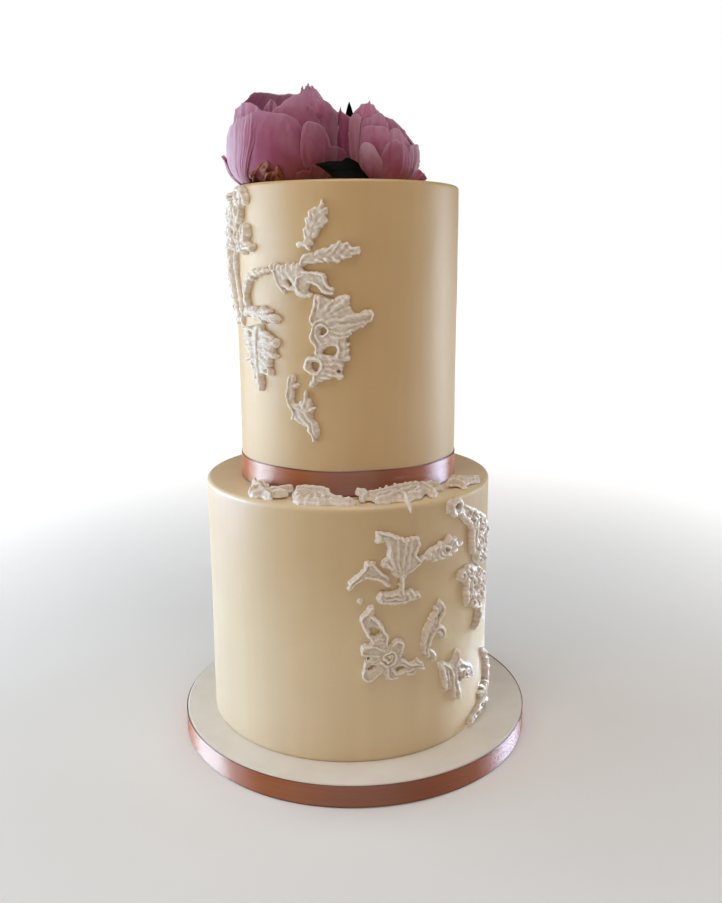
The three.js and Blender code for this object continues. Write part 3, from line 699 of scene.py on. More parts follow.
    def mesh(self, name, node, place, step=0.33, seed=1, back=None, warp=0.0):
        xs, ys, hgt, ins = self.field(step, seed)
        ny, nx = hgt.shape
        X, Y = np.meshgrid(xs, ys)
        wv, wl = waves(seed, 14, 1.5, 1.5), waves(seed + 3, 6, 0.12, 0.12)
        hgt = hgt + 0.07 * wv(X, Y) + warp * (0.5 + 0.5 * wl(X, Y))
        f = ins.ravel().copy()
        f[np.abs(f) < 0.06 * step] = 0.06 * step
        pts = np.stack([X.ravel(), Y.ravel(), hgt.ravel()], -1)
        i, j = np.meshgrid(np.arange(ny - 1), np.arange(nx - 1), indexing="ij")
        a = (i * nx + j).ravel()
        T = np.concatenate([np.stack([a, a + 1, a + nx + 1], -1), np.stack([a, a + nx + 1, a + nx], -1)])
        inside = f[T] > 0
        cnt = inside.sum(1)
        full = T[cnt == 3]
        new_pts, faces, segs = [], [full], []
        keys = {}
        base = len(pts)

        def cut(p, q):
            """Points on the outline along grid edges p (inside) - q (outside)."""
            k = np.minimum(p, q) * (nx * ny) + np.maximum(p, q)
            out = np.empty(len(p), int)
            for n_, (kk, pp, qq) in enumerate(zip(k.tolist(), p.tolist(), q.tolist())):
                got = keys.get(kk)
                if got is None:
                    t = f[pp] / (f[pp] - f[qq])
                    v = pts[pp] + t * (pts[qq] - pts[pp])
                    v[2] = pts[pp, 2] * (1 - t) + t * max(pts[qq, 2], 0.55 * pts[pp, 2])
                    got = base + len(new_pts)
                    keys[kk] = got
                    new_pts.append(v)
                out[n_] = got
            return out

        for c in (1, 2):
            sel = T[cnt == c]
            ins_c = inside[cnt == c]
            if not len(sel):
                continue
            lone = np.argmax(ins_c if c == 1 else ~ins_c, 1)
            r = np.arange(len(sel))
            p, q, s = sel[r, lone], sel[r, (lone + 1) % 3], sel[r, (lone + 2) % 3]
            if c == 1:
                e, g = cut(p, q), cut(p, s)
                faces.append(np.stack([p, e, g], -1))
                segs.append(np.stack([e, g], -1))
            else:
                e, g = cut(q, p), cut(s, p)
                faces.append(np.stack([e, q, s], -1))
                faces.append(np.stack([e, s, g], -1))
                segs.append(np.stack([g, e], -1))
        pts = np.vstack([pts, np.array(new_pts)]) if new_pts else pts
        F = np.concatenate(faces)
        S = np.concatenate(segs)
        used, inv = np.unique(F, return_inverse=True)
        F = inv.reshape(F.shape)
        remap_ = np.full(len(pts), -1)
        remap_[used] = np.arange(len(used))
        S = remap_[S]
        P = pts[used]
        # outline wall down to the icing
        ring = np.unique(S)
        low = P[ring].copy()
        low[:, 2] = -0.25 if back is None else back
        at = np.full(len(P), -1)
        at[ring] = len(P) + np.arange(len(ring))
        W = np.concatenate([np.stack([S[:, 1], S[:, 0], at[S[:, 0]]], -1), np.stack([S[:, 1], at[S[:, 0]], at[S[:, 1]]], -1)])
        allP = [P, low]
        allF = [F, W]
        if back is not None:
            under = P.copy()
            under[:, 2] = back
            off = len(P) + len(low)
            allP.append(under)
            allF.append(F[:, ::-1] + off)
        V = place(np.vstack(allP))
        ob = make(name, V, np.concatenate(allF), M_TRIM)
        if getattr(place, "mirror", False):
            ob.data.flip_normals()
        return done(ob, node)


def on_wall(R):
    def place(P):
        a, r = P[:, 0] / R, R + P[:, 2]
        return np.stack([TIER_X + r * np.sin(a), -r * np.cos(a), P[:, 1]], -1)
    return place


LEDGE_K = 1.5      # drawing millimetres to a degree of bearing on the ledge


def on_ledge(P):
    a = np.radians(P[:, 0] / LEDGE_K)
    lift = 0.16 * np.maximum(0, LOWER_R - RIM - P[:, 1])
    over = np.maximum(0, P[:, 1] - (LOWER_R - 3.0))
    return np.stack([TIER_X + P[:, 1] * np.sin(a), -P[:, 1] * np.cos(a), LEDGE_Z + lift + P[:, 2] - 0.5 * over - 0.12 * over ** 2], -1)


on_ledge.mirror = True
UP, LOW = on_wall(UPPER_R), on_wall(LOWER_R)

# upper tier ------------------------------------------------------------------
r = Relief(3.5)
r.sheet([(-30.2, 349.6), (-29.6, 347.8), (-26.4, 347.7), (-24.6, 346.0), (-22.4, 346.2), (-21.4, 347.8), (-20.2, 348.8), (-20.8, 350.4), (-20.4, 352.6),
         (-19.2, 354.6), (-17.2, 356.2), (-15.8, 358.6), (-15.4, 360.6), (-12.9, 361.5), (-11.5, 363.4), (-12.5, 365.2), (-11.3, 367.4), (-12.0, 369.5),
         (-13.6, 370.6), (-14.0, 373.2), (-14.7, 375.3), (-16.2, 372.8), (-17.2, 371.0), (-19.4, 371.0), (-21.5, 369.8), (-22.3, 367.6), (-21.7, 365.6),
         (-23.4, 365.4), (-25.1, 363.7), (-24.8, 361.7), (-25.9, 360.0), (-25.7, 357.7), (-24.9, 356.4), (-26.1, 354.5), (-26.4, 352.1), (-28.6, 351.4)], 0.60)
r.stroke([(-23.9, 347.6), (-22.7, 353.0), (-20.4, 360.0), (-17.4, 367.2), (-14.9, 374.2)], (1.2, 1.3, 1.2, 1.0, 0.5), (0.8, 1.0, 1.0, 0.95, 0.7), "groove")
for a, m, e in (((-22.6, 352.6), (-24.9, 354.2), (-25.2, 358.6)), ((-21.4, 357.0), (-24.0, 359.0), (-24.4, 363.2)), ((-20.0, 361.4), (-22.2, 363.6), (-21.6, 368.8)),
                ((-18.4, 365.0), (-19.6, 367.0), (-18.6, 370.2)), ((-21.8, 353.0), (-19.2, 355.0), (-17.0, 357.4)), ((-20.4, 357.6), (-17.0, 359.4), (-13.0, 362.8)),
                ((-19.0, 361.6), (-15.6, 363.8), (-12.5, 367.2)), ((-17.2, 366.4), (-15.0, 368.2), (-12.8, 369.6))):
    r.stroke([a, m, e], (0.9, 1.35, 1.0), (0.75, 0.95, 0.85), "dome", n=16)
r.stroke([(-29.4, 349.6), (-27.0, 349.4), (-24.6, 349.8)], (1.5, 1.4, 1.2), (0.95, 0.8, 0.8), n=14)
r.stroke([(-24.2, 348.6), (-23.0, 346.9)], (1.4, 1.3), 0.85, n=8)
r.mesh("sugar_leaf_upright", "trim_leaf_upright", UP, seed=101)

r = Relief(3.5)
r.sheet([(-28.8, 335.8), (-28.6, 338.6), (-27.4, 340.8), (-26.4, 343.0), (-23.8, 344.2), (-21.0, 344.3), (-20.2, 343.2), (-18.6, 343.5), (-17.2, 346.0), (-14.4, 347.2),
         (-11.2, 347.5), (-9.4, 349.2), (-6.4, 349.6), (-4.4, 351.2), (-1.6, 350.2), (0.8, 350.7), (2.6, 348.8), (5.0, 347.9), (7.4, 347.5), (8.3, 345.4), (7.2, 343.2),
         (4.7, 343.3), (2.8, 341.8), (0.4, 341.4), (-2.0, 339.9), (-4.3, 340.0), (-6.4, 338.2), (-9.0, 338.9), (-11.6, 337.9), (-13.8, 339.3), (-16.4, 338.3), (-20.0, 337.8),
         (-22.0, 338.5), (-24.6, 338.0), (-26.6, 335.9)], 0.58)
r.stroke([(-26.0, 338.6), (-19.6, 341.2), (-11.0, 342.4), (-2.0, 344.4), (7.4, 345.4)], (0.9, 1.0, 0.9, 0.9, 0.8), (0.75, 0.62, 0.62, 0.7, 0.8), "groove")
for a, m, e in (((-19.4, 342.2), (-17.0, 344.2), (-14.0, 346.0)), ((-14.8, 343.0), (-12.0, 345.4), (-8.4, 348.2)), ((-10.0, 343.4), (-7.0, 346.6), (-4.2, 350.0)),
                ((-5.0, 344.6), (-2.2, 347.6), (0.8, 349.6)), ((-0.4, 345.4), (2.4, 346.9), (5.2, 347.0)), ((-20.0, 340.4), (-17.6, 339.6), (-15.0, 339.3)),
                ((-14.6, 341.4), (-12.0, 340.0), (-9.2, 339.6)), ((-9.4, 342.0), (-7.0, 340.2), (-4.8, 340.2)), ((-4.4, 343.0), (-2.0, 341.6), (0.6, 341.9)),
                ((0.6, 344.2), (3.0, 343.4), (6.4, 344.2))):
    r.stroke([a, m, e], (0.9, 1.3, 0.95), (0.75, 1.0, 0.85), "dome", n=16)
r.stroke([(-28.0, 336.6), (-27.2, 340.0), (-24.4, 342.8), (-21.0, 342.6)], (1.0, 1.4, 1.4, 1.0), (1.0, 1.0, 1.0, 0.8), "dome")
r.stroke([(-25.2, 339.0), (-22.6, 339.4), (-19.0, 338.9)], (1.0, 1.1, 0.9), 0.8)
r.mesh("sugar_leaf_oblique", "trim_leaf_oblique", UP, seed=102)

r = Relief(3.7)
r.sheet([(-50.9, 336.6), (-50.2, 338.4), (-47.8, 338.1), (-46.2, 338.5), (-44.6, 337.3), (-42.6, 337.7), (-40.6, 337.1), (-38.6, 338.1), (-36.8, 337.4), (-35.2, 337.6), (-33.4, 338.5),
         (-31.4, 337.4), (-29.6, 337.8), (-28.0, 336.2), (-26.6, 334.0), (-22.4, 333.7), (-17.8, 332.8), (-14.4, 332.3), (-12.7, 330.6), (-12.3, 327.2), (-11.3, 324.0), (-8.5, 323.6),
         (-8.1, 320.0), (-10.6, 319.0), (-14.6, 320.2), (-16.6, 322.4), (-18.0, 324.4), (-20.4, 325.6), (-22.2, 326.1), (-23.6, 325.0), (-24.3, 322.8), (-24.0, 321.0), (-21.9, 319.8),
         (-22.0, 318.2), (-24.8, 317.3), (-28.4, 318.0), (-31.4, 318.9), (-33.2, 320.6), (-35.0, 321.6), (-37.6, 321.8), (-39.4, 322.4), (-39.8, 320.4), (-40.8, 319.7), (-42.0, 322.0),
         (-44.0, 324.0), (-45.4, 327.4), (-46.3, 330.6), (-47.2, 332.2), (-49.6, 334.2)], 0.56, holes=[[(-38.8, 327.8), (-36.6, 328.6), (-34.4, 326.8), (-34.6, 324.8), (-37.0, 324.4), (-38.6, 325.6)]])
r.stroke([(-46.6, 337.6), (-46.2, 333.0), (-45.0, 328.6), (-43.0, 324.8), (-40.8, 320.8)], (0.9, 1.1, 1.2, 1.2, 0.9), (0.95, 1.05, 1.1, 1.05, 0.9), "dome")
r.stroke([(-49.6, 336.2), (-48.0, 334.0), (-46.4, 333.0)], (1.3, 1.2, 1.0), 0.95)
r.bead((-49.4, 336.7), 1.6, 1.0)
for a, m, e in (((-44.0, 336.8), (-43.4, 333.6), (-42.2, 330.2)), ((-41.0, 336.4), (-40.6, 333.4), (-39.4, 330.6)), ((-37.6, 337.4), (-37.4, 334.2), (-36.8, 331.0)),
                ((-33.3, 337.6), (-33.4, 334.4), (-33.4, 331.0)), ((-29.8, 337.0), (-30.2, 334.4), (-31.0, 331.6))):
    r.stroke([a, m, e], (1.1, 1.2, 0.8), (1.0, 0.9, 0.7), "dome", n=14)
r.stroke([(-40.4, 329.8), (-42.4, 326.4), (-40.4, 323.8), (-36.6, 322.9), (-33.2, 322.4)], (1.0, 1.0, 1.0, 1.0, 0.9), (0.75, 0.8, 0.8, 0.8, 0.8))
r.stroke([(-38.8, 329.8), (-35.0, 329.6), (-33.0, 326.8), (-33.0, 323.6)], (0.9, 1.0, 1.0, 0.9), 0.8)
r.stroke([(-22.6, 318.9), (-27.0, 319.1), (-30.2, 321.6), (-31.2, 325.4), (-29.6, 329.0), (-26.0, 331.2)], (1.0, 1.2, 1.3, 1.3, 1.2, 1.0), (0.9, 1.0, 1.1, 1.15, 1.1, 0.9), "dome", n=50)
r.stroke([(-27.4, 333.0), (-22.4, 332.8), (-17.6, 331.8), (-14.2, 330.6), (-13.2, 327.0), (-11.6, 323.8), (-9.2, 322.6)], (0.9, 1.0, 1.0, 1.1, 1.0, 1.1, 1.0), (0.9, 1.0, 1.0, 1.0, 1.0, 1.0, 0.95), "dome", n=50)
r.stroke([(-24.0, 326.6), (-20.6, 326.8), (-17.6, 325.4), (-15.4, 322.6), (-12.4, 320.4), (-9.0, 320.4)], (0.7, 0.8, 0.9, 1.0, 1.1, 0.9), (0.85, 0.9, 1.0, 1.0, 1.0, 0.95), "dome", n=40)
r.mesh("sugar_hook", "trim_hook", UP, seed=103)

r = Relief(3.9)
r.sheet([(-20.2, 319.0), (-17.4, 319.2), (-14.6, 318.6), (-11.6, 317.2), (-8.8, 316.4), (-6.0, 318.0), (-1.6, 318.9), (1.4, 318.4), (1.7, 314.8), (0.7, 312.6), (1.8, 311.0), (3.0, 309.6), (5.2, 308.5),
         (7.4, 307.4), (9.0, 308.9), (11.4, 310.0), (14.4, 309.8), (15.9, 307.6), (15.8, 304.8), (14.2, 302.8), (11.6, 301.7), (9.6, 299.8), (7.3, 299.0), (5.0, 297.0), (3.5, 296.3), (2.0, 294.5),
         (0.0, 294.9), (-1.4, 293.2), (-0.4, 290.8), (0.3, 289.0), (0.2, 286.6), (1.2, 284.0), (1.0, 282.4), (1.9, 281.2), (1.2, 279.2), (-1.0, 278.8), (-2.5, 278.2), (-2.4, 275.4), (-2.9, 272.6), (-3.5, 270.4),
         (-2.7, 268.2), (-5.0, 266.8), (-8.0, 268.6), (-10.6, 267.6), (-13.4, 267.0), (-16.0, 265.2), (-18.6, 264.8), (-20.4, 262.6), (-22.2, 261.5), (-23.9, 263.4), (-22.7, 265.6), (-21.6, 268.0),
         (-22.8, 269.6), (-25.2, 270.5), (-27.3, 273.2), (-27.7, 276.4), (-26.5, 279.6), (-24.0, 281.5), (-21.4, 281.9), (-20.2, 282.8), (-19.9, 285.0), (-20.5, 287.4), (-22.1, 289.8), (-22.9, 293.4),
         (-22.9, 297.0), (-21.7, 299.8), (-22.8, 302.0), (-23.1, 305.0), (-22.1, 308.8), (-20.7, 311.2), (-20.9, 315.2)], 0.55,
        holes=[[(-16.6, 297.4), (-15.2, 298.8), (-13.2, 298.4), (-12.6, 296.6), (-14.2, 295.2), (-16.2, 295.6)],
               [(-15.2, 285.2), (-13.2, 287.0), (-9.6, 288.2), (-7.3, 287.5), (-6.9, 284.6), (-7.7, 281.9), (-11.6, 282.0), (-14.8, 283.0)],
               [(-22.6, 275.4), (-21.4, 278.0), (-19.0, 277.8), (-17.4, 275.4), (-18.8, 272.8), (-21.2, 272.6)],
               [(-6.4, 272.4), (-5.0, 273.8), (-3.9, 272.2), (-5.0, 270.8)]])
r.stroke([(-19.4, 318.4), (-19.8, 312.4), (-21.6, 307.4), (-22.0, 303.6), (-20.4, 301.0), (-18.6, 303.4), (-15.6, 304.4), (-12.2, 303.2)], (0.9, 1.1, 1.2, 1.2, 1.1, 1.1, 1.1, 0.8), (0.85, 1.0, 1.1, 1.15, 1.1, 1.05, 1.0, 0.8), "dome", n=70)
r.stroke([(-20.6, 300.6), (-21.9, 297.4), (-21.9, 293.4), (-20.6, 289.8), (-19.2, 287.0), (-18.8, 283.2)], (0.9, 1.2, 1.2, 1.1, 1.0, 0.9), (0.95, 1.1, 1.1, 1.05, 1.0, 0.9), "dome", n=50)
r.volute((-14.7, 297.0), 4.6, 0.95, 150, 1.5, 1.02, ccw=False)
r.stroke([(-18.6, 299.8), (-19.4, 296.6), (-18.4, 292.6), (-16.0, 289.2)], (1.0, 1.2, 1.2, 1.0), (0.85, 0.9, 0.9, 0.8))
for pts, wd, hh in (([(-18.0, 306.6), (-17.2, 312.4), (-16.8, 317.6)], (1.2, 1.7, 1.5), (0.8, 0.95, 0.9)), ([(-15.0, 307.4), (-11.6, 312.0), (-8.4, 315.2)], (1.2, 1.9, 1.5), (0.8, 0.95, 0.85)),
                    ([(-12.6, 307.4), (-6.0, 312.2), (-0.6, 316.8)], (1.2, 2.1, 1.7), (0.8, 1.0, 0.95)), ([(-11.0, 306.2), (-4.6, 309.0), (0.8, 311.6)], (1.0, 1.5, 1.1), (0.8, 0.88, 0.85)),
                    ([(-12.0, 303.0), (-3.0, 304.6), (6.0, 306.2), (14.0, 307.0)], (1.3, 2.2, 2.1, 1.5), (0.9, 1.05, 1.0, 0.95)), ([(-11.0, 299.8), (-1.0, 300.2), (9.0, 303.0)], (1.2, 2.0, 1.4), (0.85, 0.98, 0.9)),
                    ([(-10.4, 297.0), (-3.0, 296.0), (3.4, 297.4)], (1.1, 1.8, 1.2), (0.85, 0.95, 0.88)), ([(-11.0, 294.0), (-5.4, 292.8), (0.0, 294.2)], (1.0, 1.6, 1.1), (0.8, 0.9, 0.85))):
    r.stroke(pts, wd, hh, "dome", n=26)
r.stroke([(13.2, 309.2), (15.0, 307.2), (14.6, 304.4)], (0.8, 0.9, 0.8), (0.9, 1.05, 0.95))
r.stroke([(-5.6, 291.6), (-5.4, 286.0), (-5.8, 280.2)], (1.0, 1.1, 1.1), (0.9, 1.0, 0.95), "dome")
r.stroke([(-2.4, 291.4), (-2.2, 286.0), (-2.0, 280.4)], (1.0, 1.2, 1.2), (0.75, 0.85, 0.8), "dome")
for bz in (288.6, 284.8, 281.0):
    r.stroke([(-1.8, bz), (0.2, bz + 0.2)], (1.2, 1.1), (0.75, 0.9), "dome", n=8)
r.stroke([(-16.8, 288.2), (-13.0, 289.6), (-9.0, 290.2)], (1.0, 1.0, 1.0), 0.85)
r.ring((-20.6, 275.5), 4.9, 1.35, 1.0)
for pts in ([(-15.0, 279.4), (-9.6, 280.0), (-3.6, 279.8)], [(-14.6, 276.6), (-9.4, 276.8), (-3.6, 276.2)], [(-14.8, 273.8), (-10.4, 273.6), (-7.4, 272.6)],
            [(-15.8, 271.4), (-12.0, 270.8), (-7.6, 269.6), (-4.0, 268.4)], [(-17.6, 269.4), (-14.8, 268.4), (-11.6, 268.0)], [(-19.0, 268.0), (-17.4, 266.6)]):
    r.stroke(pts, (0.9, 1.35, 1.1), (0.8, 0.92, 0.85), "dome", n=20)
r.stroke([(-20.8, 270.2), (-20.6, 267.0), (-22.2, 263.4)], (1.1, 1.3, 1.3), (0.85, 1.0, 1.0), "dome")
r.bead((-22.2, 263.3), 1.6, 1.0)
r.mesh("sugar_shell_upper", "trim_shell_upper", UP, seed=104)

r = Relief(3.6)
r.sheet([(-39.7, 265.8), (-38.8, 268.4), (-36.0, 268.7), (-34.0, 267.8), (-33.9, 264.2), (-31.4, 262.8), (-32.2, 261.0), (-34.0, 260.4), (-34.6, 256.0), (-35.0, 252.4), (-34.4, 250.6), (-32.0, 251.1),
         (-30.6, 252.6), (-28.4, 253.2), (-28.2, 256.0), (-27.2, 259.2), (-26.2, 258.0), (-25.2, 255.4), (-23.6, 254.2), (-23.0, 251.6), (-22.4, 249.3), (-20.2, 249.2), (-20.5, 247.6), (-22.5, 245.8),
         (-22.4, 243.0), (-21.0, 240.4), (-19.0, 238.6), (-18.1, 234.6), (-18.4, 230.6), (-20.0, 229.0), (-20.5, 226.9), (-22.4, 226.6), (-23.5, 228.6), (-22.8, 231.0), (-23.5, 233.4), (-25.6, 234.3),
         (-26.2, 236.5), (-28.4, 237.1), (-30.4, 238.4), (-33.0, 239.2), (-35.2, 240.3), (-37.5, 240.0), (-37.2, 242.2), (-35.6, 243.8), (-35.4, 246.2), (-37.4, 247.4), (-39.3, 249.4), (-39.8, 253.0),
         (-40.5, 256.0), (-39.8, 259.4), (-38.7, 261.4), (-39.5, 263.6)], 0.58)
r.stroke([(-37.8, 267.0), (-37.6, 262.2), (-38.9, 256.4), (-38.3, 251.0), (-35.8, 247.6), (-34.2, 244.8), (-36.0, 241.4)], (1.3, 1.2, 1.2, 1.2, 1.3, 1.2, 1.0), (1.05, 1.0, 1.1, 1.1, 1.05, 1.0, 0.95), "dome", n=60)
r.stroke([(-35.4, 266.6), (-35.6, 261.0), (-36.2, 254.0)], (1.0, 1.0, 0.9), (0.85, 0.8, 0.75))
r.stroke([(-34.2, 248.2), (-29.6, 247.4), (-26.0, 244.4), (-22.8, 238.8), (-20.4, 231.6)], (1.2, 1.7, 1.8, 1.4, 1.0), (0.9, 0.95, 0.9, 0.95, 0.9), "dome", n=50)
r.stroke([(-31.6, 243.4), (-27.6, 240.4), (-24.6, 236.0), (-22.4, 231.4), (-21.8, 228.0)], (1.1, 1.3, 1.2, 1.1, 1.1), (0.85, 0.95, 1.0, 1.05, 1.0), "dome", n=46)
r.stroke([(-28.0, 248.6), (-26.8, 252.8), (-27.0, 258.0)], (1.2, 1.2, 0.8), (0.9, 1.0, 0.95), "dome")
r.stroke([(-25.6, 248.0), (-24.4, 250.8), (-24.2, 253.6)], (1.0, 1.1, 0.8), 0.85)
r.stroke([(-26.4, 246.6), (-23.4, 247.6), (-20.8, 248.4)], (1.1, 1.0, 0.7), (0.85, 0.95, 0.9))
r.stroke([(-32.6, 249.4), (-30.6, 251.0), (-29.2, 252.2)], (0.9, 0.9, 0.7), 0.8)
r.stroke([(-33.8, 241.0), (-31.4, 240.0), (-29.0, 238.6)], (0.9, 1.0, 0.8), 0.8)
r.mesh("sugar_sprig_upper", "trim_sprig_upper", UP, seed=105)

r = Relief(3.7)
r.stroke([(-53.0, 333.4), (-58.0, 333.2), (-63.6, 332.4), (-69.4, 330.0), (-74.0, 325.8), (-76.2, 320.0), (-76.0, 314.0), (-73.4, 309.4)],
         (1.2, 1.6, 1.9, 2.2, 2.5, 2.6, 2.5, 2.2), (0.8, 0.85, 0.9, 0.95, 1.0, 1.0, 1.0, 0.9), "groove", n=70)
for a, e in (((-55.0, 332.4), (-56.4, 334.8)), ((-59.0, 331.8), (-60.8, 334.6)), ((-63.4, 330.8), (-65.6, 333.6)), ((-67.6, 328.6), (-70.4, 331.4))):
    r.stroke([a, e], (1.3, 1.3), (0.9, 0.95), "dome", n=8)
r.sheet([(-72.0, 311.4), (-68.0, 310.8), (-65.4, 311.0), (-63.2, 309.6), (-60.4, 310.6), (-57.4, 311.6), (-55.2, 309.4), (-52.6, 309.9), (-50.4, 308.6), (-51.2, 306.6), (-48.6, 305.4), (-45.2, 305.6), (-44.0, 303.2),
         (-46.4, 301.0), (-50.4, 300.6), (-53.0, 301.8), (-55.2, 302.4), (-58.2, 300.2), (-60.8, 301.8), (-63.4, 303.0), (-66.6, 302.4), (-70.0, 304.0), (-74.0, 304.9), (-78.2, 304.2), (-80.4, 306.4), (-78.4, 309.4), (-75.0, 311.0)], 0.6)
r.stroke([(-78.0, 306.6), (-70.0, 307.4), (-62.0, 306.4), (-54.0, 305.2), (-46.0, 303.4)], (1.1, 1.3, 1.2, 1.1, 0.9), (0.85, 1.0, 0.95, 0.9, 0.85), "groove")
for a, m, e in (((-67.0, 307.6), (-66.0, 309.6), (-64.6, 310.0)), ((-62.6, 307.0), (-60.2, 308.8), (-57.8, 310.6)), ((-57.8, 306.4), (-55.2, 307.8), (-52.0, 308.8)), ((-52.6, 305.4), (-50.0, 305.6), (-46.4, 304.8)),
                ((-66.6, 306.2), (-64.4, 304.4), (-62.4, 303.8)), ((-61.6, 305.6), (-60.0, 303.2), (-58.2, 301.2)), ((-56.6, 304.8), (-54.6, 303.4), (-51.6, 302.0)), ((-52.0, 304.2), (-49.4, 302.8), (-47.0, 301.8)),
                ((-72.0, 308.4), (-74.4, 309.6), (-76.6, 309.0)), ((-72.0, 306.2), (-75.0, 305.6), (-78.0, 305.2))):
    r.stroke([a, m, e], (0.9, 1.3, 1.0), (0.8, 1.0, 0.9), "dome", n=14)
r.mesh("sugar_c_scroll", "trim_c_scroll", UP, seed=106)

r = Relief(3.9)
r.sheet([(-66.0, 299.0), (-62.6, 300.0), (-59.0, 299.6), (-57.4, 296.6), (-57.0, 293.6), (-54.8, 293.9), (-52.0, 293.4), (-49.4, 291.9), (-47.0, 291.2), (-45.2, 288.7), (-46.2, 285.9), (-48.4, 285.3), (-49.4, 283.8),
         (-47.8, 282.2), (-46.0, 280.6), (-47.4, 278.6), (-50.4, 278.6), (-51.6, 276.8), (-51.8, 274.4), (-52.4, 272.8), (-50.4, 270.4), (-51.0, 267.9), (-53.6, 267.5), (-56.0, 267.4), (-58.6, 267.6), (-59.8, 266.0),
         (-59.6, 262.0), (-60.0, 258.4), (-62.6, 256.6), (-64.4, 259.4), (-65.4, 262.4), (-67.4, 263.4), (-68.4, 266.2), (-67.8, 270.0), (-68.8, 273.2), (-71.4, 275.2), (-74.8, 275.8), (-78.0, 275.2), (-77.2, 279.0),
         (-75.2, 281.0), (-76.8, 283.8), (-78.8, 286.6), (-78.6, 290.6), (-80.8, 293.6), (-82.2, 296.4), (-78.4, 297.4), (-74.0, 296.6), (-70.2, 297.6), (-67.6, 298.6)], 0.56,
        holes=[[(-71.4, 293.8), (-70.0, 294.6), (-69.0, 293.2), (-70.4, 292.2)], [(-56.2, 270.0), (-55.2, 271.0), (-54.2, 270.0), (-55.2, 269.0)]])
r.stroke([(-62.0, 298.6), (-63.4, 292.0), (-63.8, 284.0), (-63.4, 275.0), (-62.6, 266.0), (-62.2, 258.8)], (1.4, 1.7, 1.6, 1.5, 1.3, 1.0), (1.0, 1.1, 1.1, 1.08, 1.0, 0.9), "groove", n=60)
for pts, wd in (([(-61.0, 295.0), (-56.0, 293.8), (-50.6, 291.4)], (1.3, 2.0, 1.4)), ([(-61.4, 289.6), (-54.0, 289.4), (-47.4, 287.8)], (1.4, 2.3, 1.7)), ([(-61.8, 283.6), (-55.0, 283.0), (-48.2, 280.6)], (1.4, 2.1, 1.5)),
                ([(-61.8, 277.4), (-56.6, 276.4), (-52.8, 274.6)], (1.3, 1.9, 1.3)), ([(-61.6, 272.0), (-57.2, 269.4), (-52.6, 268.8)], (1.2, 1.7, 1.2)), ([(-64.8, 295.6), (-72.0, 296.0), (-80.4, 296.0)], (1.3, 1.7, 1.1)),
                ([(-65.4, 290.6), (-72.0, 290.6), (-78.4, 290.0)], (1.4, 1.9, 1.2)), ([(-65.6, 285.2), (-71.6, 284.4), (-77.0, 285.4)], (1.4, 1.9, 1.2)), ([(-65.4, 280.0), (-71.0, 278.4), (-76.6, 276.6)], (1.4, 1.8, 1.1)),
                ([(-65.0, 274.0), (-68.0, 272.4), (-71.4, 275.8)], (1.2, 1.5, 1.0)), ([(-64.0, 268.4), (-66.4, 266.0), (-67.2, 264.4)], (1.1, 1.2, 0.8))):
    r.stroke(pts, wd, (0.85, 1.02, 0.92), "groove", n=20)
for c in ((-48.0, 288.6), (-49.4, 281.0), (-52.6, 269.6), (-79.0, 296.0)):
    r.bead(c, 1.6, 1.02)
r.mesh("sugar_leaf_hanging", "trim_leaf_hanging", UP, seed=107)

r = Relief(4.2)
r.sheet([(-86.0, 386.0), (-82.0, 387.0), (-77.6, 385.6), (-74.4, 383.2), (-72.0, 380.0), (-71.6, 376.6), (-74.6, 374.0), (-77.4, 373.4), (-79.8, 371.6), (-79.6, 367.8), (-81.4, 364.8), (-83.6, 362.0), (-84.4, 358.4), (-83.0, 355.6),
         (-80.6, 354.6), (-79.6, 358.0), (-79.4, 361.6), (-77.0, 363.2), (-73.4, 362.8), (-71.0, 360.6), (-70.6, 356.0), (-72.0, 352.6), (-70.0, 350.0), (-66.4, 349.4), (-65.6, 346.6), (-68.6, 344.9), (-73.0, 345.4), (-76.6, 343.6),
         (-80.4, 343.8), (-83.0, 346.2), (-86.4, 347.0), (-89.6, 350.0), (-90.8, 356.0), (-89.4, 362.4), (-90.4, 369.0), (-88.8, 376.0), (-87.6, 381.0)], 0.55,
        holes=[[(-86.2, 372.8), (-84.0, 374.0), (-82.2, 371.6), (-83.4, 368.6), (-85.6, 369.0)], [(-87.4, 357.6), (-85.8, 358.8), (-85.2, 356.4), (-86.6, 355.4)]])
for pts, wd in (([(-84.0, 385.4), (-80.0, 383.0), (-77.0, 379.0), (-78.6, 375.4)], (1.2, 1.5, 1.5, 1.2)), ([(-78.0, 384.4), (-74.8, 380.6), (-73.6, 377.0)], (1.2, 1.4, 1.2)), ([(-87.4, 384.0), (-85.0, 379.6), (-82.6, 376.0), (-80.0, 373.8)], (1.2, 1.4, 1.4, 1.2)),
                ([(-80.6, 372.0), (-81.2, 367.4), (-84.0, 363.6), (-85.4, 360.4)], (1.2, 1.4, 1.4, 1.2)), ([(-88.0, 378.0), (-88.2, 371.0), (-87.6, 364.6), (-88.6, 358.6), (-87.6, 352.6), (-83.6, 349.4)], (1.2, 1.4, 1.4, 1.4, 1.4, 1.2)),
                ([(-78.4, 354.4), (-78.2, 359.0), (-76.4, 362.0)], (1.3, 1.5, 1.2)), ([(-74.4, 361.0), (-73.4, 356.4), (-74.6, 351.4)], (1.4, 1.7, 1.4)), ([(-84.4, 353.6), (-80.6, 351.0), (-79.4, 347.0), (-82.6, 346.0)], (1.2, 1.5, 1.5, 1.2)),
                ([(-77.6, 350.6), (-75.6, 347.4), (-71.4, 347.6), (-67.2, 347.2)], (1.2, 1.5, 1.4, 1.3))):
    r.stroke(pts, wd, (0.9, 1.0, 0.95), "dome", n=30)
for c in ((-83.4, 383.4), (-75.0, 377.6), (-80.4, 346.6), (-67.4, 347.4), (-77.4, 346.4)):
    r.bead(c, 1.7, 1.05)
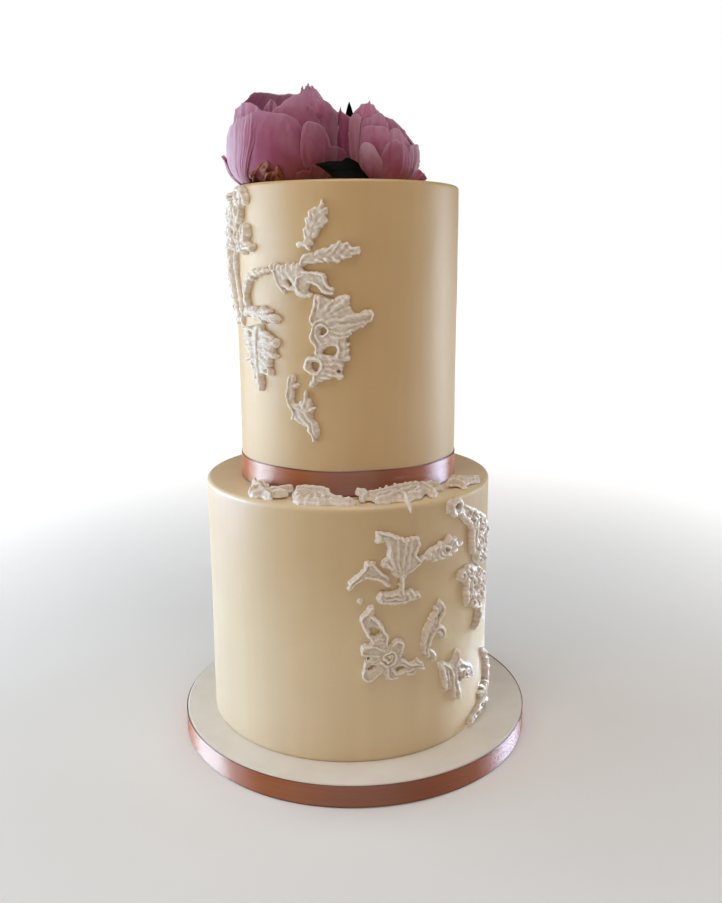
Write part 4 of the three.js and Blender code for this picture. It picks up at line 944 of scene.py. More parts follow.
r.lace([(-88.0, 383.0), (-80.0, 385.0), (-74.0, 381.0), (-73.0, 377.0), (-80.0, 372.0), (-82.0, 365.0), (-85.0, 358.0), (-84.0, 352.0), (-78.0, 350.0), (-72.0, 350.0), (-70.0, 347.0), (-80.0, 345.0), (-88.0, 350.0), (-88.6, 364.0)], 508, 20, open_=0.25, gap=3.2)
r.mesh("sugar_rim_cluster", "trim_rim_cluster", UP, seed=108)

r = Relief(5.7)
r.stroke([(-95.0, 379.0), (-101.0, 374.0), (-104.6, 366.0), (-105.0, 357.0), (-106.6, 348.0), (-107.4, 339.0), (-106.4, 330.0), (-103.4, 321.0), (-98.4, 312.0), (-92.0, 304.0), (-84.6, 298.6)],
         (1.6, 2.4, 2.9, 2.8, 3.0, 2.7, 2.6, 2.2, 1.9, 1.6, 1.3), (0.5, 0.8, 0.95, 0.92, 0.95, 0.9, 0.85, 0.72, 0.6, 0.5, 0.4), "groove", n=90)
r.stroke([(-90.6, 348.4), (-94.2, 341.0), (-94.6, 332.6), (-92.4, 324.4), (-89.0, 317.0), (-85.8, 309.0), (-84.2, 300.6)], (1.5, 1.6, 1.5, 1.4, 1.4, 1.4, 1.3), (0.6, 0.55, 0.48, 0.45, 0.45, 0.45, 0.4), "dome", n=60)
r.lace([(-108.6, 381.0), (-100.0, 383.0), (-92.0, 380.0), (-91.4, 362.0), (-91.0, 347.0), (-98.0, 344.0), (-109.0, 342.0), (-111.0, 360.0)], 509, 26, size=(2.2, 3.8), w=(1.0, 1.5), h=(0.62, 1.08), gap=3.8, open_=0.12)
for bu, bz, a, br, bh in ((-110.6, 368.0, 20, 3.6, 1.05), (-110.8, 357.6, 200, 3.8, 1.05), (-111.6, 347.0, 40, 3.6, 1.0), (-111.8, 336.6, 220, 3.2, 0.92), (-110.0, 327.4, 60, 3.2, 0.86), (-106.4, 318.0, 240, 2.8, 0.74), (-100.4, 309.0, 80, 2.6, 0.62), (-93.6, 301.6, 250, 2.2, 0.5)):
    r.volute((bu, bz), br, 0.95, a, 1.35, bh)
r.leaf((-107.0, 352.0), (-117.0, 336.0), 6.6, lobes=4, h=0.8)
r.leaf((-106.4, 334.0), (-113.6, 318.0), 5.4, lobes=4, h=0.7)
r.mesh("sugar_edge_strand", "trim_edge_strand", UP, seed=109, step=0.4)

# lower tier ------------------------------------------------------------------
r = Relief(3.8)
r.sheet([(16.3, 172.4), (17.0, 174.6), (20.0, 175.3), (22.6, 174.2), (25.0, 174.0), (27.4, 172.8), (28.8, 171.0), (31.4, 170.7), (33.0, 169.0), (35.4, 169.2), (37.2, 168.4), (40.0, 169.0), (43.4, 169.0), (44.9, 167.0), (45.1, 164.8),
         (46.7, 164.2), (45.4, 162.0), (43.4, 162.1), (42.8, 160.2), (43.2, 157.0), (45.0, 155.5), (47.2, 155.7), (48.9, 156.7), (48.9, 153.6), (47.4, 151.3), (45.2, 150.1), (43.8, 149.3), (42.0, 147.8), (40.4, 146.1), (37.8, 145.3),
         (36.0, 143.0), (35.2, 140.4), (35.2, 137.6), (35.8, 134.9), (37.4, 134.2), (40.0, 135.4), (42.0, 133.2), (45.6, 133.0), (46.6, 130.2), (45.0, 127.5), (41.0, 126.8), (38.6, 127.5), (36.6, 125.3), (33.0, 125.1), (28.6, 125.5),
         (23.6, 126.3), (20.2, 126.9), (17.2, 129.6), (18.0, 132.4), (19.8, 135.2), (21.6, 134.7), (25.0, 135.5), (28.4, 134.7), (31.0, 135.6), (32.2, 137.8), (31.2, 139.0), (32.2, 141.4), (31.8, 143.8), (29.6, 145.1), (27.2, 146.6),
         (26.4, 149.2), (24.0, 150.9), (21.0, 151.5), (20.1, 154.0), (21.4, 156.5), (23.4, 157.5), (24.5, 160.0), (23.6, 162.0), (24.2, 164.6), (22.8, 167.4), (20.0, 167.7), (17.4, 167.9), (16.3, 170.0)], 0.55)
r.bead((18.8, 171.4), 2.5, 1.12).bead((21.4, 170.6), 1.6, 0.95)
r.stroke([(20.6, 174.2), (24.6, 172.8), (28.2, 170.4), (31.0, 167.8)], (0.9, 1.1, 1.1, 0.9), (0.9, 1.0, 1.05, 0.9))
for pts, wd in (([(25.4, 166.0), (26.0, 158.6), (27.6, 151.0), (30.4, 147.0)], (1.5, 2.0, 1.6, 0.9)), ([(30.2, 168.4), (30.2, 160.6), (30.8, 153.0), (32.4, 147.0)], (1.6, 2.2, 1.8, 0.9)),
                ([(35.2, 167.4), (34.8, 160.0), (34.2, 152.6), (34.0, 146.6)], (1.5, 2.0, 1.7, 0.9)), ([(39.8, 167.4), (38.6, 160.0), (37.2, 153.0), (35.6, 147.0)], (1.6, 2.0, 1.7, 0.9))):
    r.stroke(pts, wd, (0.9, 0.98, 0.95, 0.8), "dome", n=36)
for c in ((27.4, 171.2), (30.6, 170.0), (33.6, 168.8), (36.8, 168.2), (40.2, 168.6), (43.4, 168.2)):
    r.bead(c, 1.45, 1.02)
r.stroke([(44.2, 166.8), (44.6, 164.2), (42.4, 161.4), (42.4, 157.4), (44.8, 153.6), (48.0, 155.2)], (0.9, 1.0, 1.0, 1.1, 1.3, 1.1), (1.0, 1.05, 1.05, 1.1, 1.15, 1.0), "dome", n=44)
r.stroke([(45.6, 152.0), (42.4, 150.2), (40.0, 147.4), (37.2, 146.4)], (1.2, 1.2, 1.1, 0.9), (1.0, 0.95, 0.95, 0.8))
r.stroke([(21.4, 154.2), (24.2, 153.4), (27.0, 150.4), (31.0, 148.6), (36.4, 149.2)], (1.2, 1.3, 1.1, 1.0, 0.9), (0.9, 0.95, 0.9, 0.85, 0.8))
r.stroke([(33.6, 146.6), (33.4, 142.4), (33.6, 138.0), (33.8, 133.4)], (1.3, 1.2, 1.2, 1.1), (0.95, 1.0, 1.05, 0.95), "dome")
for pts in ([(19.8, 134.2), (19.6, 131.2), (20.4, 128.4)], [(21.8, 133.4), (26.0, 132.8), (31.6, 132.6)], [(21.4, 130.6), (28.0, 130.2), (35.4, 130.4)], [(22.0, 127.9), (28.6, 127.6), (36.0, 127.6)], [(36.6, 132.8), (38.6, 130.6), (38.4, 128.2)],
            [(39.6, 134.0), (41.4, 131.4), (41.6, 128.2)], [(42.8, 131.8), (45.0, 131.2), (45.2, 129.2)]):
    r.stroke(pts, (0.9, 1.3, 1.1), (0.85, 0.98, 0.9), "dome", n=16)
r.mesh("sugar_shell_lower", "trim_shell_lower", LOW, seed=121)

r = Relief(3.4)
r.sheet([(-2.0, 138.2), (-0.6, 140.6), (-0.9, 142.4), (1.0, 144.8), (4.0, 147.1), (6.6, 147.6), (7.4, 150.0), (9.4, 152.2), (10.4, 155.1), (13.0, 155.9), (16.2, 155.2), (17.6, 152.6), (18.6, 150.4), (20.6, 148.0), (23.0, 146.4), (25.2, 144.0),
         (25.0, 142.0), (26.7, 139.6), (25.8, 137.5), (23.6, 138.4), (22.0, 140.4), (19.0, 142.4), (16.0, 143.9), (12.6, 144.5), (10.0, 144.5), (7.4, 143.5), (5.4, 142.5), (3.4, 140.3), (1.6, 137.4), (0.0, 136.5)], 0.5)
r.stroke([(-0.4, 138.8), (1.8, 143.2), (5.6, 146.0), (8.8, 149.4), (11.0, 153.4), (14.0, 154.6), (16.6, 152.0), (19.4, 148.0), (23.6, 144.6)], (1.0, 1.1, 1.1, 1.1, 1.1, 1.1, 1.0, 1.0, 0.9), (0.95, 1.0, 1.0, 1.0, 1.05, 1.0, 0.95, 0.95, 0.85), "dome", n=60)
r.stroke([(1.4, 139.2), (5.6, 143.4), (11.0, 145.8), (16.0, 145.2), (20.4, 142.8), (25.2, 139.2)], (0.9, 1.1, 1.1, 1.1, 1.2, 1.1), (0.9, 0.95, 0.95, 0.95, 0.95, 0.95), "dome", n=50)
r.stroke([(8.4, 146.4), (11.6, 149.4), (13.6, 152.0)], (0.9, 1.1, 0.8), 0.8)
r.stroke([(13.6, 147.2), (16.4, 148.6), (18.0, 148.4)], (0.9, 1.0, 0.8), 0.8)
r.mesh("sugar_leaf_arched", "trim_leaf_arched", LOW, seed=122)

r = Relief(3.7)
r.sheet([(49.6, 155.0), (51.2, 158.0), (54.0, 159.8), (56.4, 159.2), (58.6, 161.4), (61.0, 160.6), (63.4, 162.6), (66.0, 161.6), (68.2, 165.0), (69.8, 165.6), (71.2, 162.2), (74.0, 164.2), (75.6, 163.0), (76.6, 160.0), (80.4, 159.8),
         (82.2, 157.6), (80.6, 155.8), (76.6, 156.2), (75.0, 153.6), (71.6, 154.4), (69.8, 151.2), (66.6, 152.6), (64.0, 150.0), (61.0, 151.8), (57.6, 150.2), (55.4, 152.2), (52.0, 151.6), (50.8, 153.2)], 0.58)
r.stroke([(50.2, 154.6), (56.0, 154.8), (61.0, 155.6)], (1.2, 1.3, 1.2), (0.9, 0.9, 0.9), "groove")
r.volute((65.6, 157.6), 4.4, 1.05, 200, 1.35, 1.1).hole((65.8, 157.4), 0.9)
for a, m, e in (((66.0, 160.6), (68.0, 162.6), (69.4, 165.0)), ((69.0, 160.0), (71.6, 161.8), (74.4, 162.8)), ((70.2, 157.4), (74.6, 158.4), (80.4, 158.0)), ((69.2, 155.0), (72.4, 155.0), (75.6, 154.4)), ((60.4, 157.8), (60.2, 160.0), (61.8, 161.6)),
                ((60.0, 153.8), (61.6, 152.6), (64.2, 151.4)), ((56.4, 156.6), (56.2, 158.4), (57.6, 159.8)), ((55.0, 153.6), (56.0, 152.4), (57.8, 151.4)), ((66.6, 153.6), (68.0, 152.8), (70.0, 152.4))):
    r.stroke([a, m, e], (1.0, 1.5, 1.1), (0.85, 1.05, 0.95), "dome", n=14)
for c in ((54.4, 155.2), (59.2, 154.8), (52.4, 156.2)):
    r.bead(c, 1.7, 1.0)
r.mesh("sugar_leaf_side", "trim_leaf_side", LOW, seed=123)

r = Relief(3.7)
r.sheet([(7.2, 95.0), (7.6, 98.0), (9.4, 99.8), (12.0, 100.3), (13.0, 102.4), (12.2, 105.0), (10.4, 108.2), (8.2, 111.0), (8.2, 113.6), (6.8, 116.4), (7.2, 120.0), (9.0, 122.8), (11.4, 125.2), (15.0, 127.0), (15.8, 123.0), (15.2, 119.8),
         (17.6, 117.4), (20.2, 114.4), (22.0, 111.2), (23.8, 107.4), (24.8, 103.4), (25.0, 99.8), (25.8, 98.4), (27.2, 99.8), (29.2, 102.1), (32.6, 102.5), (34.9, 100.2), (35.7, 97.6), (34.4, 94.8), (34.6, 91.4), (33.4, 88.7), (35.2, 87.0),
         (38.2, 84.8), (41.6, 83.9), (43.4, 84.8), (45.2, 86.5), (47.6, 85.2), (49.5, 82.4), (50.2, 78.6), (49.4, 76.9), (46.4, 78.1), (43.6, 77.6), (42.4, 75.7), (39.0, 75.6), (36.8, 77.1), (33.4, 76.4), (30.4, 74.7), (26.4, 74.7),
         (23.2, 75.5), (22.6, 78.2), (21.0, 79.8), (18.4, 78.4), (16.4, 76.5), (14.2, 75.0), (11.4, 74.7), (8.8, 76.7), (7.9, 80.0), (8.8, 84.2), (9.2, 87.6), (10.4, 89.6), (9.8, 92.0), (7.8, 92.8)], 0.54,
        holes=[[(12.8, 112.0), (15.4, 113.0), (18.0, 111.4), (19.6, 109.0), (18.4, 106.8), (15.4, 105.4), (13.8, 107.2), (13.0, 109.6)], [(11.5, 83.4), (12.0, 85.4), (14.0, 86.5), (16.1, 86.1), (15.8, 84.2), (13.6, 82.8)],
               [(10.9, 91.0), (12.2, 91.9), (13.1, 90.9), (12.0, 90.1)], [(29.8, 81.6), (31.4, 83.6), (34.6, 83.0), (36.6, 81.8), (34.8, 80.6), (31.4, 80.2)]])
r.stroke([(14.4, 125.4), (11.4, 122.4), (8.4, 119.0), (8.4, 114.8), (10.4, 110.0), (13.2, 104.8), (15.4, 101.6)], (1.2, 1.3, 1.2, 1.1, 1.1, 1.1, 1.0), (0.95, 1.0, 1.05, 1.0, 1.0, 0.95, 0.9), "dome", n=56)
r.stroke([(13.4, 119.4), (17.0, 116.4), (20.4, 111.8), (22.8, 107.0), (23.9, 102.6), (24.0, 99.4)], (1.0, 1.0, 1.0, 1.0, 1.0, 0.9), (1.05, 1.15, 1.15, 1.15, 1.1, 1.0), "dome", n=50)
r.stroke([(13.6, 122.6), (12.0, 118.6), (12.0, 114.8)], (1.1, 1.2, 1.0), (0.9, 0.9, 0.8))
r.stroke([(15.8, 104.0), (18.6, 105.0), (21.0, 104.0)], (0.9, 1.1, 0.9), 0.85).stroke([(17.0, 101.4), (20.0, 101.8), (22.6, 100.8)], (0.9, 1.1, 0.9), 0.85)
r.stroke([(8.4, 94.0), (8.4, 97.6), (12.0, 99.2), (17.0, 98.4), (21.4, 96.6)], (1.0, 1.1, 1.1, 1.1, 1.0), (1.0, 1.05, 1.0, 0.95, 0.9), "dome", n=40)
r.stroke([(9.0, 93.4), (14.0, 93.0), (19.0, 92.6)], (0.8, 1.0, 1.0), (0.95, 0.9, 0.85)).stroke([(11.6, 96.2), (15.4, 95.8), (19.2, 95.0)], (1.0, 1.1, 0.9), 0.75)
r.stroke([(10.2, 88.6), (9.3, 83.8), (8.8, 79.8), (10.4, 76.4), (14.0, 76.2), (18.0, 79.4), (21.4, 83.0)], (1.0, 1.0, 1.1, 1.1, 1.1, 1.1, 1.0), (0.95, 1.0, 1.05, 1.0, 0.95, 0.9, 0.9), "dome", n=50)
r.stroke([(16.6, 87.0), (18.6, 87.4), (20.2, 88.4)], (1.0, 1.1, 1.0), 0.85).stroke([(12.0, 79.2), (14.6, 80.6), (17.6, 83.4)], (1.2, 1.3, 1.1), 0.72).stroke([(11.4, 88.6), (15.0, 89.4), (19.0, 90.2)], (0.9, 1.0, 1.0), 0.85)
r.stroke([(28.2, 98.2), (31.0, 101.2), (34.0, 98.8), (33.2, 94.4), (32.6, 90.4)], (1.0, 1.2, 1.2, 1.1, 1.0), (0.95, 1.05, 1.05, 0.95, 0.9), "dome", n=40).stroke([(30.2, 97.2), (31.2, 94.2), (31.0, 90.8)], (1.0, 1.0, 0.9), 0.72)
r.stroke([(33.0, 88.0), (36.4, 85.6), (40.4, 83.4), (44.6, 83.0), (48.6, 80.6)], (1.0, 1.0, 1.0, 1.1, 1.0), (0.95, 1.0, 1.0, 1.0, 0.95), "dome", n=40).stroke([(45.2, 85.4), (47.6, 83.4)], (1.0, 1.0), 1.0, n=8)
r.stroke([(26.6, 83.4), (30.0, 78.8), (35.4, 78.8), (41.0, 80.0), (46.4, 79.4), (49.4, 77.8)], (1.0, 1.1, 1.1, 1.1, 1.0, 0.8), (0.9, 0.95, 0.95, 0.95, 0.9, 0.85), "dome", n=44).stroke([(37.0, 77.8), (40.6, 76.9), (42.6, 77.6)], (0.9, 1.1, 0.9), 0.95)
r.stroke([(23.8, 84.6), (24.0, 79.4), (26.2, 76.0), (30.4, 76.0)], (1.0, 1.1, 1.1, 1.0), (0.9, 0.95, 0.95, 0.9), "dome", n=36)
r.volute((25.0, 91.0), 6.0, 1.75, 215, 1.45, 1.05).bead((25.0, 91.0), 1.5, 1.0).bead((7.2, 129.4), 1.9, 0.42)
r.mesh("sugar_scroll_rosette", "trim_scroll_rosette", LOW, seed=124)

r = Relief(3.8)
r.sheet([(62.2, 123.1), (64.2, 121.0), (65.5, 118.4), (64.9, 115.6), (65.1, 112.0), (63.4, 111.3), (61.8, 113.4), (60.5, 112.4), (60.4, 109.6), (60.8, 106.8), (62.4, 105.4), (64.8, 104.6), (65.5, 101.0), (66.4, 98.6), (66.3, 95.4), (64.6, 94.3),
         (63.6, 97.2), (62.6, 99.6), (60.0, 100.4), (57.0, 100.0), (55.0, 98.8), (53.6, 96.8), (53.2, 93.4), (53.5, 90.2), (55.2, 90.5), (57.0, 89.0), (58.4, 86.4), (59.8, 82.4), (58.0, 81.1), (56.6, 83.3), (55.2, 86.1), (53.8, 85.8),
         (52.4, 84.7), (50.8, 85.7), (50.0, 88.4), (48.5, 90.6), (47.7, 94.4), (48.0, 98.4), (48.5, 102.6), (49.5, 105.5), (51.3, 108.2), (52.7, 110.6), (54.0, 113.4), (55.8, 112.2), (57.2, 112.8), (57.8, 115.6), (58.8, 118.4), (60.5, 120.8)], 0.56)
r.stroke([(62.2, 122.0), (64.2, 118.6), (63.8, 113.6), (61.0, 109.0), (58.6, 104.6), (55.6, 100.4), (52.8, 96.0), (52.0, 90.6), (52.2, 86.0)], (0.9, 1.1, 1.1, 1.1, 1.1, 1.1, 1.1, 1.0, 0.9), (0.95, 1.1, 1.1, 1.1, 1.12, 1.12, 1.1, 1.05, 0.95), "dome", n=70)
r.stroke([(58.8, 117.8), (55.4, 110.6), (51.8, 103.6), (49.8, 96.6), (50.0, 89.6)], (1.3, 2.0, 2.2, 1.8, 1.2), (0.85, 0.95, 1.0, 0.95, 0.85), "dome", n=50)
r.stroke([(60.4, 105.4), (63.6, 104.0), (65.2, 99.6), (65.6, 95.4)], (1.0, 1.2, 1.2, 0.9), (0.95, 1.05, 1.05, 0.9), "dome").stroke([(57.6, 101.4), (61.4, 101.0), (63.4, 98.0)], (0.9, 1.1, 0.9), 0.95)
r.stroke([(54.4, 89.6), (56.8, 87.0), (58.8, 82.2)], (0.9, 1.1, 0.9), (0.9, 1.0, 0.9)).bead((57.4, 113.2), 1.2, 0.9).bead((54.0, 111.8), 1.2, 0.85)
r.mesh("sugar_leaf_tall", "trim_leaf_tall", LOW, seed=125)

r = Relief(3.9)
r.sheet([(61.0, 78.4), (64.0, 79.6), (68.0, 78.0), (72.0, 75.6), (75.6, 77.2), (78.4, 82.6), (80.4, 83.2), (81.0, 79.0), (82.4, 75.0), (86.0, 72.6), (90.0, 69.8), (94.6, 67.6), (98.6, 62.6), (98.4, 57.6), (94.0, 55.6), (90.0, 58.4), (86.6, 58.4),
         (83.6, 58.6), (82.0, 56.0), (83.6, 51.0), (83.4, 46.0), (81.4, 45.8), (79.6, 50.4), (77.6, 52.0), (77.2, 49.0), (75.4, 49.6), (74.0, 54.6), (71.6, 57.6), (69.8, 60.0), (69.0, 56.2), (67.0, 57.4), (66.4, 62.4), (64.6, 67.0), (63.0, 72.4), (61.6, 75.6)], 0.55,
        holes=[[(70.6, 69.4), (71.4, 71.4), (72.6, 69.4), (72.2, 66.6), (71.0, 66.0)], [(78.4, 62.2), (80.0, 63.6), (82.0, 62.0), (80.6, 60.4)]])
for pts, wd in (([(62.6, 77.6), (65.2, 70.6), (67.0, 63.4), (68.2, 57.8)], (1.0, 1.3, 1.3, 0.9)), ([(66.4, 77.0), (70.0, 73.6), (73.4, 68.6), (74.4, 61.0), (75.2, 54.6), (76.2, 50.4)], (1.0, 1.2, 1.2, 1.2, 1.1, 0.8)), ([(68.6, 71.6), (69.4, 66.4), (71.2, 60.4)], (0.9, 1.1, 0.9)),
                ([(76.8, 68.2), (77.4, 61.6), (79.0, 54.4), (82.2, 46.8)], (1.0, 1.2, 1.2, 0.9)), ([(76.6, 72.6), (79.0, 76.6), (79.6, 82.2)], (1.1, 1.2, 0.8)), ([(76.0, 71.4), (80.4, 72.6), (85.4, 70.8), (90.0, 67.6)], (1.1, 1.3, 1.3, 1.0)),
                ([(79.6, 66.6), (84.0, 66.8), (88.6, 64.4), (93.6, 64.4)], (1.1, 1.3, 1.3, 1.1)), ([(82.4, 60.6), (87.4, 60.8), (92.6, 58.4), (96.6, 60.6)], (1.1, 1.3, 1.3, 1.1)), ([(80.0, 69.4), (81.8, 66.0), (80.6, 63.4)], (1.0, 1.1, 0.9))):
    r.stroke(pts, wd, (0.95, 1.05, 1.0), "dome", n=30)
r.volute((87.6, 62.4), 3.6, 0.95, 60, 1.2, 1.1).bead((93.4, 64.8), 1.9, 1.08).bead((96.6, 58.2), 1.7, 1.0).bead((64.6, 76.6), 1.6, 1.0).bead((79.8, 80.6), 1.2, 0.95)
r.mesh("sugar_sprig_lower", "trim_sprig_lower", LOW, seed=126)

r = Relief(4.0)
r.sheet([(67.6, 181.0), (67.8, 186.0), (70.6, 189.0), (75.0, 189.4), (79.0, 188.4), (82.0, 186.6), (84.0, 183.0), (88.0, 181.6), (92.0, 179.8), (96.6, 176.4), (101.0, 174.0), (106.0, 172.0), (110.6, 171.0), (115.6, 168.6), (119.0, 163.0), (118.6, 156.0),
         (116.0, 150.0), (112.0, 146.0), (106.0, 145.0), (100.0, 145.6), (95.0, 146.4), (92.4, 150.0), (91.8, 156.0), (92.0, 162.0), (90.0, 166.4), (85.6, 170.0), (81.6, 174.4), (77.0, 178.0), (72.0, 179.2)], 0.5,
        holes=[[(73.6, 184.6), (75.4, 186.2), (77.6, 184.8), (76.8, 182.6), (74.6, 182.4)], [(99.6, 161.6), (101.4, 164.0), (103.6, 161.6), (103.4, 156.6), (101.2, 154.6), (99.6, 157.4)]])
r.volute((75.4, 184.4), 6.0, 1.15, 250, 1.7, 1.08, ccw=False)
for pts, wd in (([(72.4, 180.4), (79.0, 178.4), (84.4, 174.2), (88.6, 170.6), (92.4, 166.0)], (1.1, 1.3, 1.3, 1.3, 1.3)), ([(82.6, 183.4), (88.0, 180.2), (94.0, 177.4), (100.0, 174.0), (107.0, 171.0)], (1.2, 1.5, 1.4, 1.4, 1.2)),
                ([(92.8, 165.0), (93.6, 159.0), (93.6, 153.0), (95.6, 148.0)], (1.3, 1.6, 1.6, 1.3)), ([(99.0, 171.4), (98.6, 164.0), (97.4, 156.0), (100.0, 149.6)], (1.1, 1.3, 1.3, 1.1))):
    r.stroke(pts, wd, (0.95, 1.08, 1.0), "groove", n=34)
r.sheet([(99.0, 149.0), (106.0, 148.6), (113.0, 148.0), (114.6, 140.0), (113.0, 133.6), (106.0, 136.4), (100.0, 139.4), (97.6, 144.0)], 0.5)
r.lace([(84.0, 179.6), (92.0, 177.0), (104.0, 171.0), (114.0, 167.4), (118.0, 160.0), (116.0, 150.0), (114.0, 138.0), (106.0, 137.0), (100.0, 141.0), (97.0, 149.0), (96.0, 160.0), (90.0, 170.0)], 527, 44, size=(1.7, 3.2), h=(0.85, 1.2), gap=3.1, open_=0.2)
r.mesh("sugar_edge_scroll", "trim_edge_scroll", LOW, seed=127, step=0.36)

r = Relief(4.2)
r.sheet([(79.0, 131.8), (78.8, 136.4), (82.0, 139.0), (86.6, 138.4), (90.0, 140.4), (95.0, 139.0), (100.0, 136.6), (106.0, 134.6), (111.0, 131.0), (116.0, 126.0), (117.6, 119.0), (116.6, 112.0), (113.0, 106.0), (110.0, 101.6), (107.6, 96.0), (103.0, 91.2),
         (98.6, 90.6), (99.4, 94.4), (103.0, 98.6), (103.6, 103.0), (100.0, 106.6), (95.6, 109.0), (91.0, 110.0), (87.4, 112.4), (86.0, 118.0), (86.4, 124.0), (85.0, 129.4), (82.0, 131.4)], 0.5,
        holes=[[(89.0, 124.6), (90.4, 127.4), (91.8, 124.6), (91.0, 121.0), (89.4, 121.0)], [(97.8, 121.6), (99.6, 123.8), (101.4, 121.4), (99.8, 118.8)]])
r.volute((81.6, 135.4), 3.4, 0.9, 320, 1.2, 1.0)
for pts, wd in (([(87.4, 137.0), (87.2, 130.0), (87.4, 122.0), (89.0, 113.6)], (1.2, 1.5, 1.6, 1.2)), ([(92.0, 137.6), (93.6, 131.0), (92.8, 124.0), (94.4, 116.0)], (1.1, 1.3, 1.3, 1.1)),
                ([(105.6, 105.0), (106.6, 99.4), (103.4, 94.4), (100.0, 91.6)], (1.2, 1.4, 1.3, 0.9)), ([(91.6, 111.6), (98.0, 108.8), (104.0, 105.4)], (1.1, 1.3, 1.1))):
    r.stroke(pts, wd, (0.95, 1.08, 1.0), "groove", n=34)
r.lace([(88.0, 137.0), (98.0, 136.0), (108.0, 132.0), (115.0, 125.0), (116.0, 114.0), (110.0, 104.0), (102.0, 107.0), (92.0, 111.6), (88.0, 118.0), (88.0, 128.0)], 528, 44, size=(1.7, 3.2), h=(0.85, 1.2), gap=3.1, open_=0.2)
r.mesh("sugar_edge_leaf", "trim_edge_leaf", LOW, seed=128, step=0.36)

r = Relief(4.6)
r.stroke([(117.6, 68.0), (124.0, 62.0), (129.6, 53.0), (131.6, 43.0), (129.8, 33.8), (122.4, 27.8), (112.0, 25.6), (104.0, 23.2), (96.0, 20.6)],
         (1.4, 2.2, 2.8, 3.2, 3.2, 2.9, 2.3, 1.9, 1.2), (0.7, 0.9, 1.0, 1.0, 1.0, 1.0, 0.95, 0.9, 0.8), "channel", n=90)
for bu, bz, br in ((121.0, 63.6, 1.8), (126.6, 57.0, 2.0), (130.0, 49.6, 2.1), (131.0, 42.0, 2.2), (129.6, 35.4, 2.2), (124.4, 29.8, 2.1), (116.6, 27.0, 1.9), (108.4, 24.8, 1.7)):
    r.bead((bu, bz), br, 1.0)
r.stroke([(121.6, 28.6), (126.6, 23.4), (134.4, 21.8)], (1.8, 1.9, 1.1), 0.9)
r.leaf((128.6, 38.0), (113.4, 33.6), 5.4, lobes=3, h=0.85)
r.bead((97.4, 21.4), 1.6, 0.8)
r.mesh("sugar_edge_tail", "trim_edge_tail", LOW, seed=129)


# ledge -----------------------------------------------------------------------
def K(pts):
    return [(LEDGE_K * b, q) for b, q in pts]


r = Relief(4.4)
r.sheet(K([(-50.4, 81.6), (-46.6, 79.8), (-42.6, 80.8), (-38.6, 83.6), (-34.6, 85.4), (-31.0, 82.0), (-27.4, 79.6), (-26.2, 81.6), (-28.2, 85.4), (-26.0, 88.0), (-28.6, 91.6), (-31.8, 93.0), (-29.8, 96.8), (-32.8, 98.0), (-35.6, 95.8), (-37.8, 97.8), (-40.6, 97.6),
           (-40.8, 95.0), (-43.4, 95.6), (-44.2, 91.6), (-42.8, 88.4), (-46.4, 86.8), (-50.0, 84.4)]), 0.5)
for pts, wd in (([(-49.4, 82.6), (-45.4, 85.0), (-40.6, 88.4), (-35.6, 92.6), (-31.4, 96.6)], (1.5, 1.8, 2.0, 1.9, 1.3)), ([(-27.4, 80.6), (-31.0, 84.8), (-34.6, 90.6), (-38.8, 96.8)], (1.3, 1.9, 1.9, 1.3)), ([(-46.4, 80.8), (-42.6, 82.6), (-39.6, 86.0)], (1.4, 1.8, 1.5)),
                ([(-42.0, 87.0), (-42.8, 91.6), (-42.4, 94.8)], (1.4, 1.6, 1.1)), ([(-33.4, 91.6), (-29.6, 90.6), (-27.0, 88.2)], (1.4, 1.6, 1.1)), ([(-35.0, 87.4), (-32.0, 88.0), (-29.4, 86.6)], (1.2, 1.3, 0.9))):
    r.stroke(K(pts), wd, (0.95, 1.05, 1.0), "dome", n=30)
r.bead((LEDGE_K * -49.2, 82.6), 2.0, 1.05).bead((LEDGE_K * -27.8, 80.8), 1.8, 1.05).bead((LEDGE_K * -38.4, 84.6), 1.7, 1.0)
r.mesh("sugar_ledge_crossed", "trim_ledge_crossed", on_ledge, seed=141, back=0.05)

r = Relief(4.7)
r.sheet(K([(-24.6, 83.0), (-22.4, 80.0), (-18.0, 79.0), (-12.6, 79.2), (-8.0, 81.4), (-7.4, 85.0), (-4.0, 89.4), (0.6, 93.4), (2.4, 96.0), (0.0, 98.0), (-4.0, 97.0), (-8.0, 96.6), (-12.0, 98.2), (-16.0, 98.0), (-19.4, 98.4), (-21.8, 95.6), (-21.4, 91.8), (-24.0, 88.4)]), 0.55)
r.fan((LEDGE_K * -15.0, 80.8), 168, 36, 1.8, [11.6, 13.6, 15.2, 16.4, 16.8, 16.6, 15.6, 14.4], h=0.98, spread=0.92)
r.stroke(K([(-23.2, 82.2), (-18.0, 80.6), (-12.0, 81.0), (-8.8, 83.4)]), (1.5, 1.8, 1.8, 1.4), (1.0, 1.05, 1.05, 1.0), "dome")
r.stroke(K([(-12.0, 87.6), (-8.0, 91.0), (-3.6, 93.8), (1.0, 96.0)]), (1.6, 2.0, 1.8, 1.4), (0.95, 1.0, 0.95, 0.9), "dome")
r.bead((LEDGE_K * 0.4, 95.6), 1.8, 0.95)
r.mesh("sugar_ledge_shell", "trim_ledge_shell", on_ledge, seed=142, back=0.05)

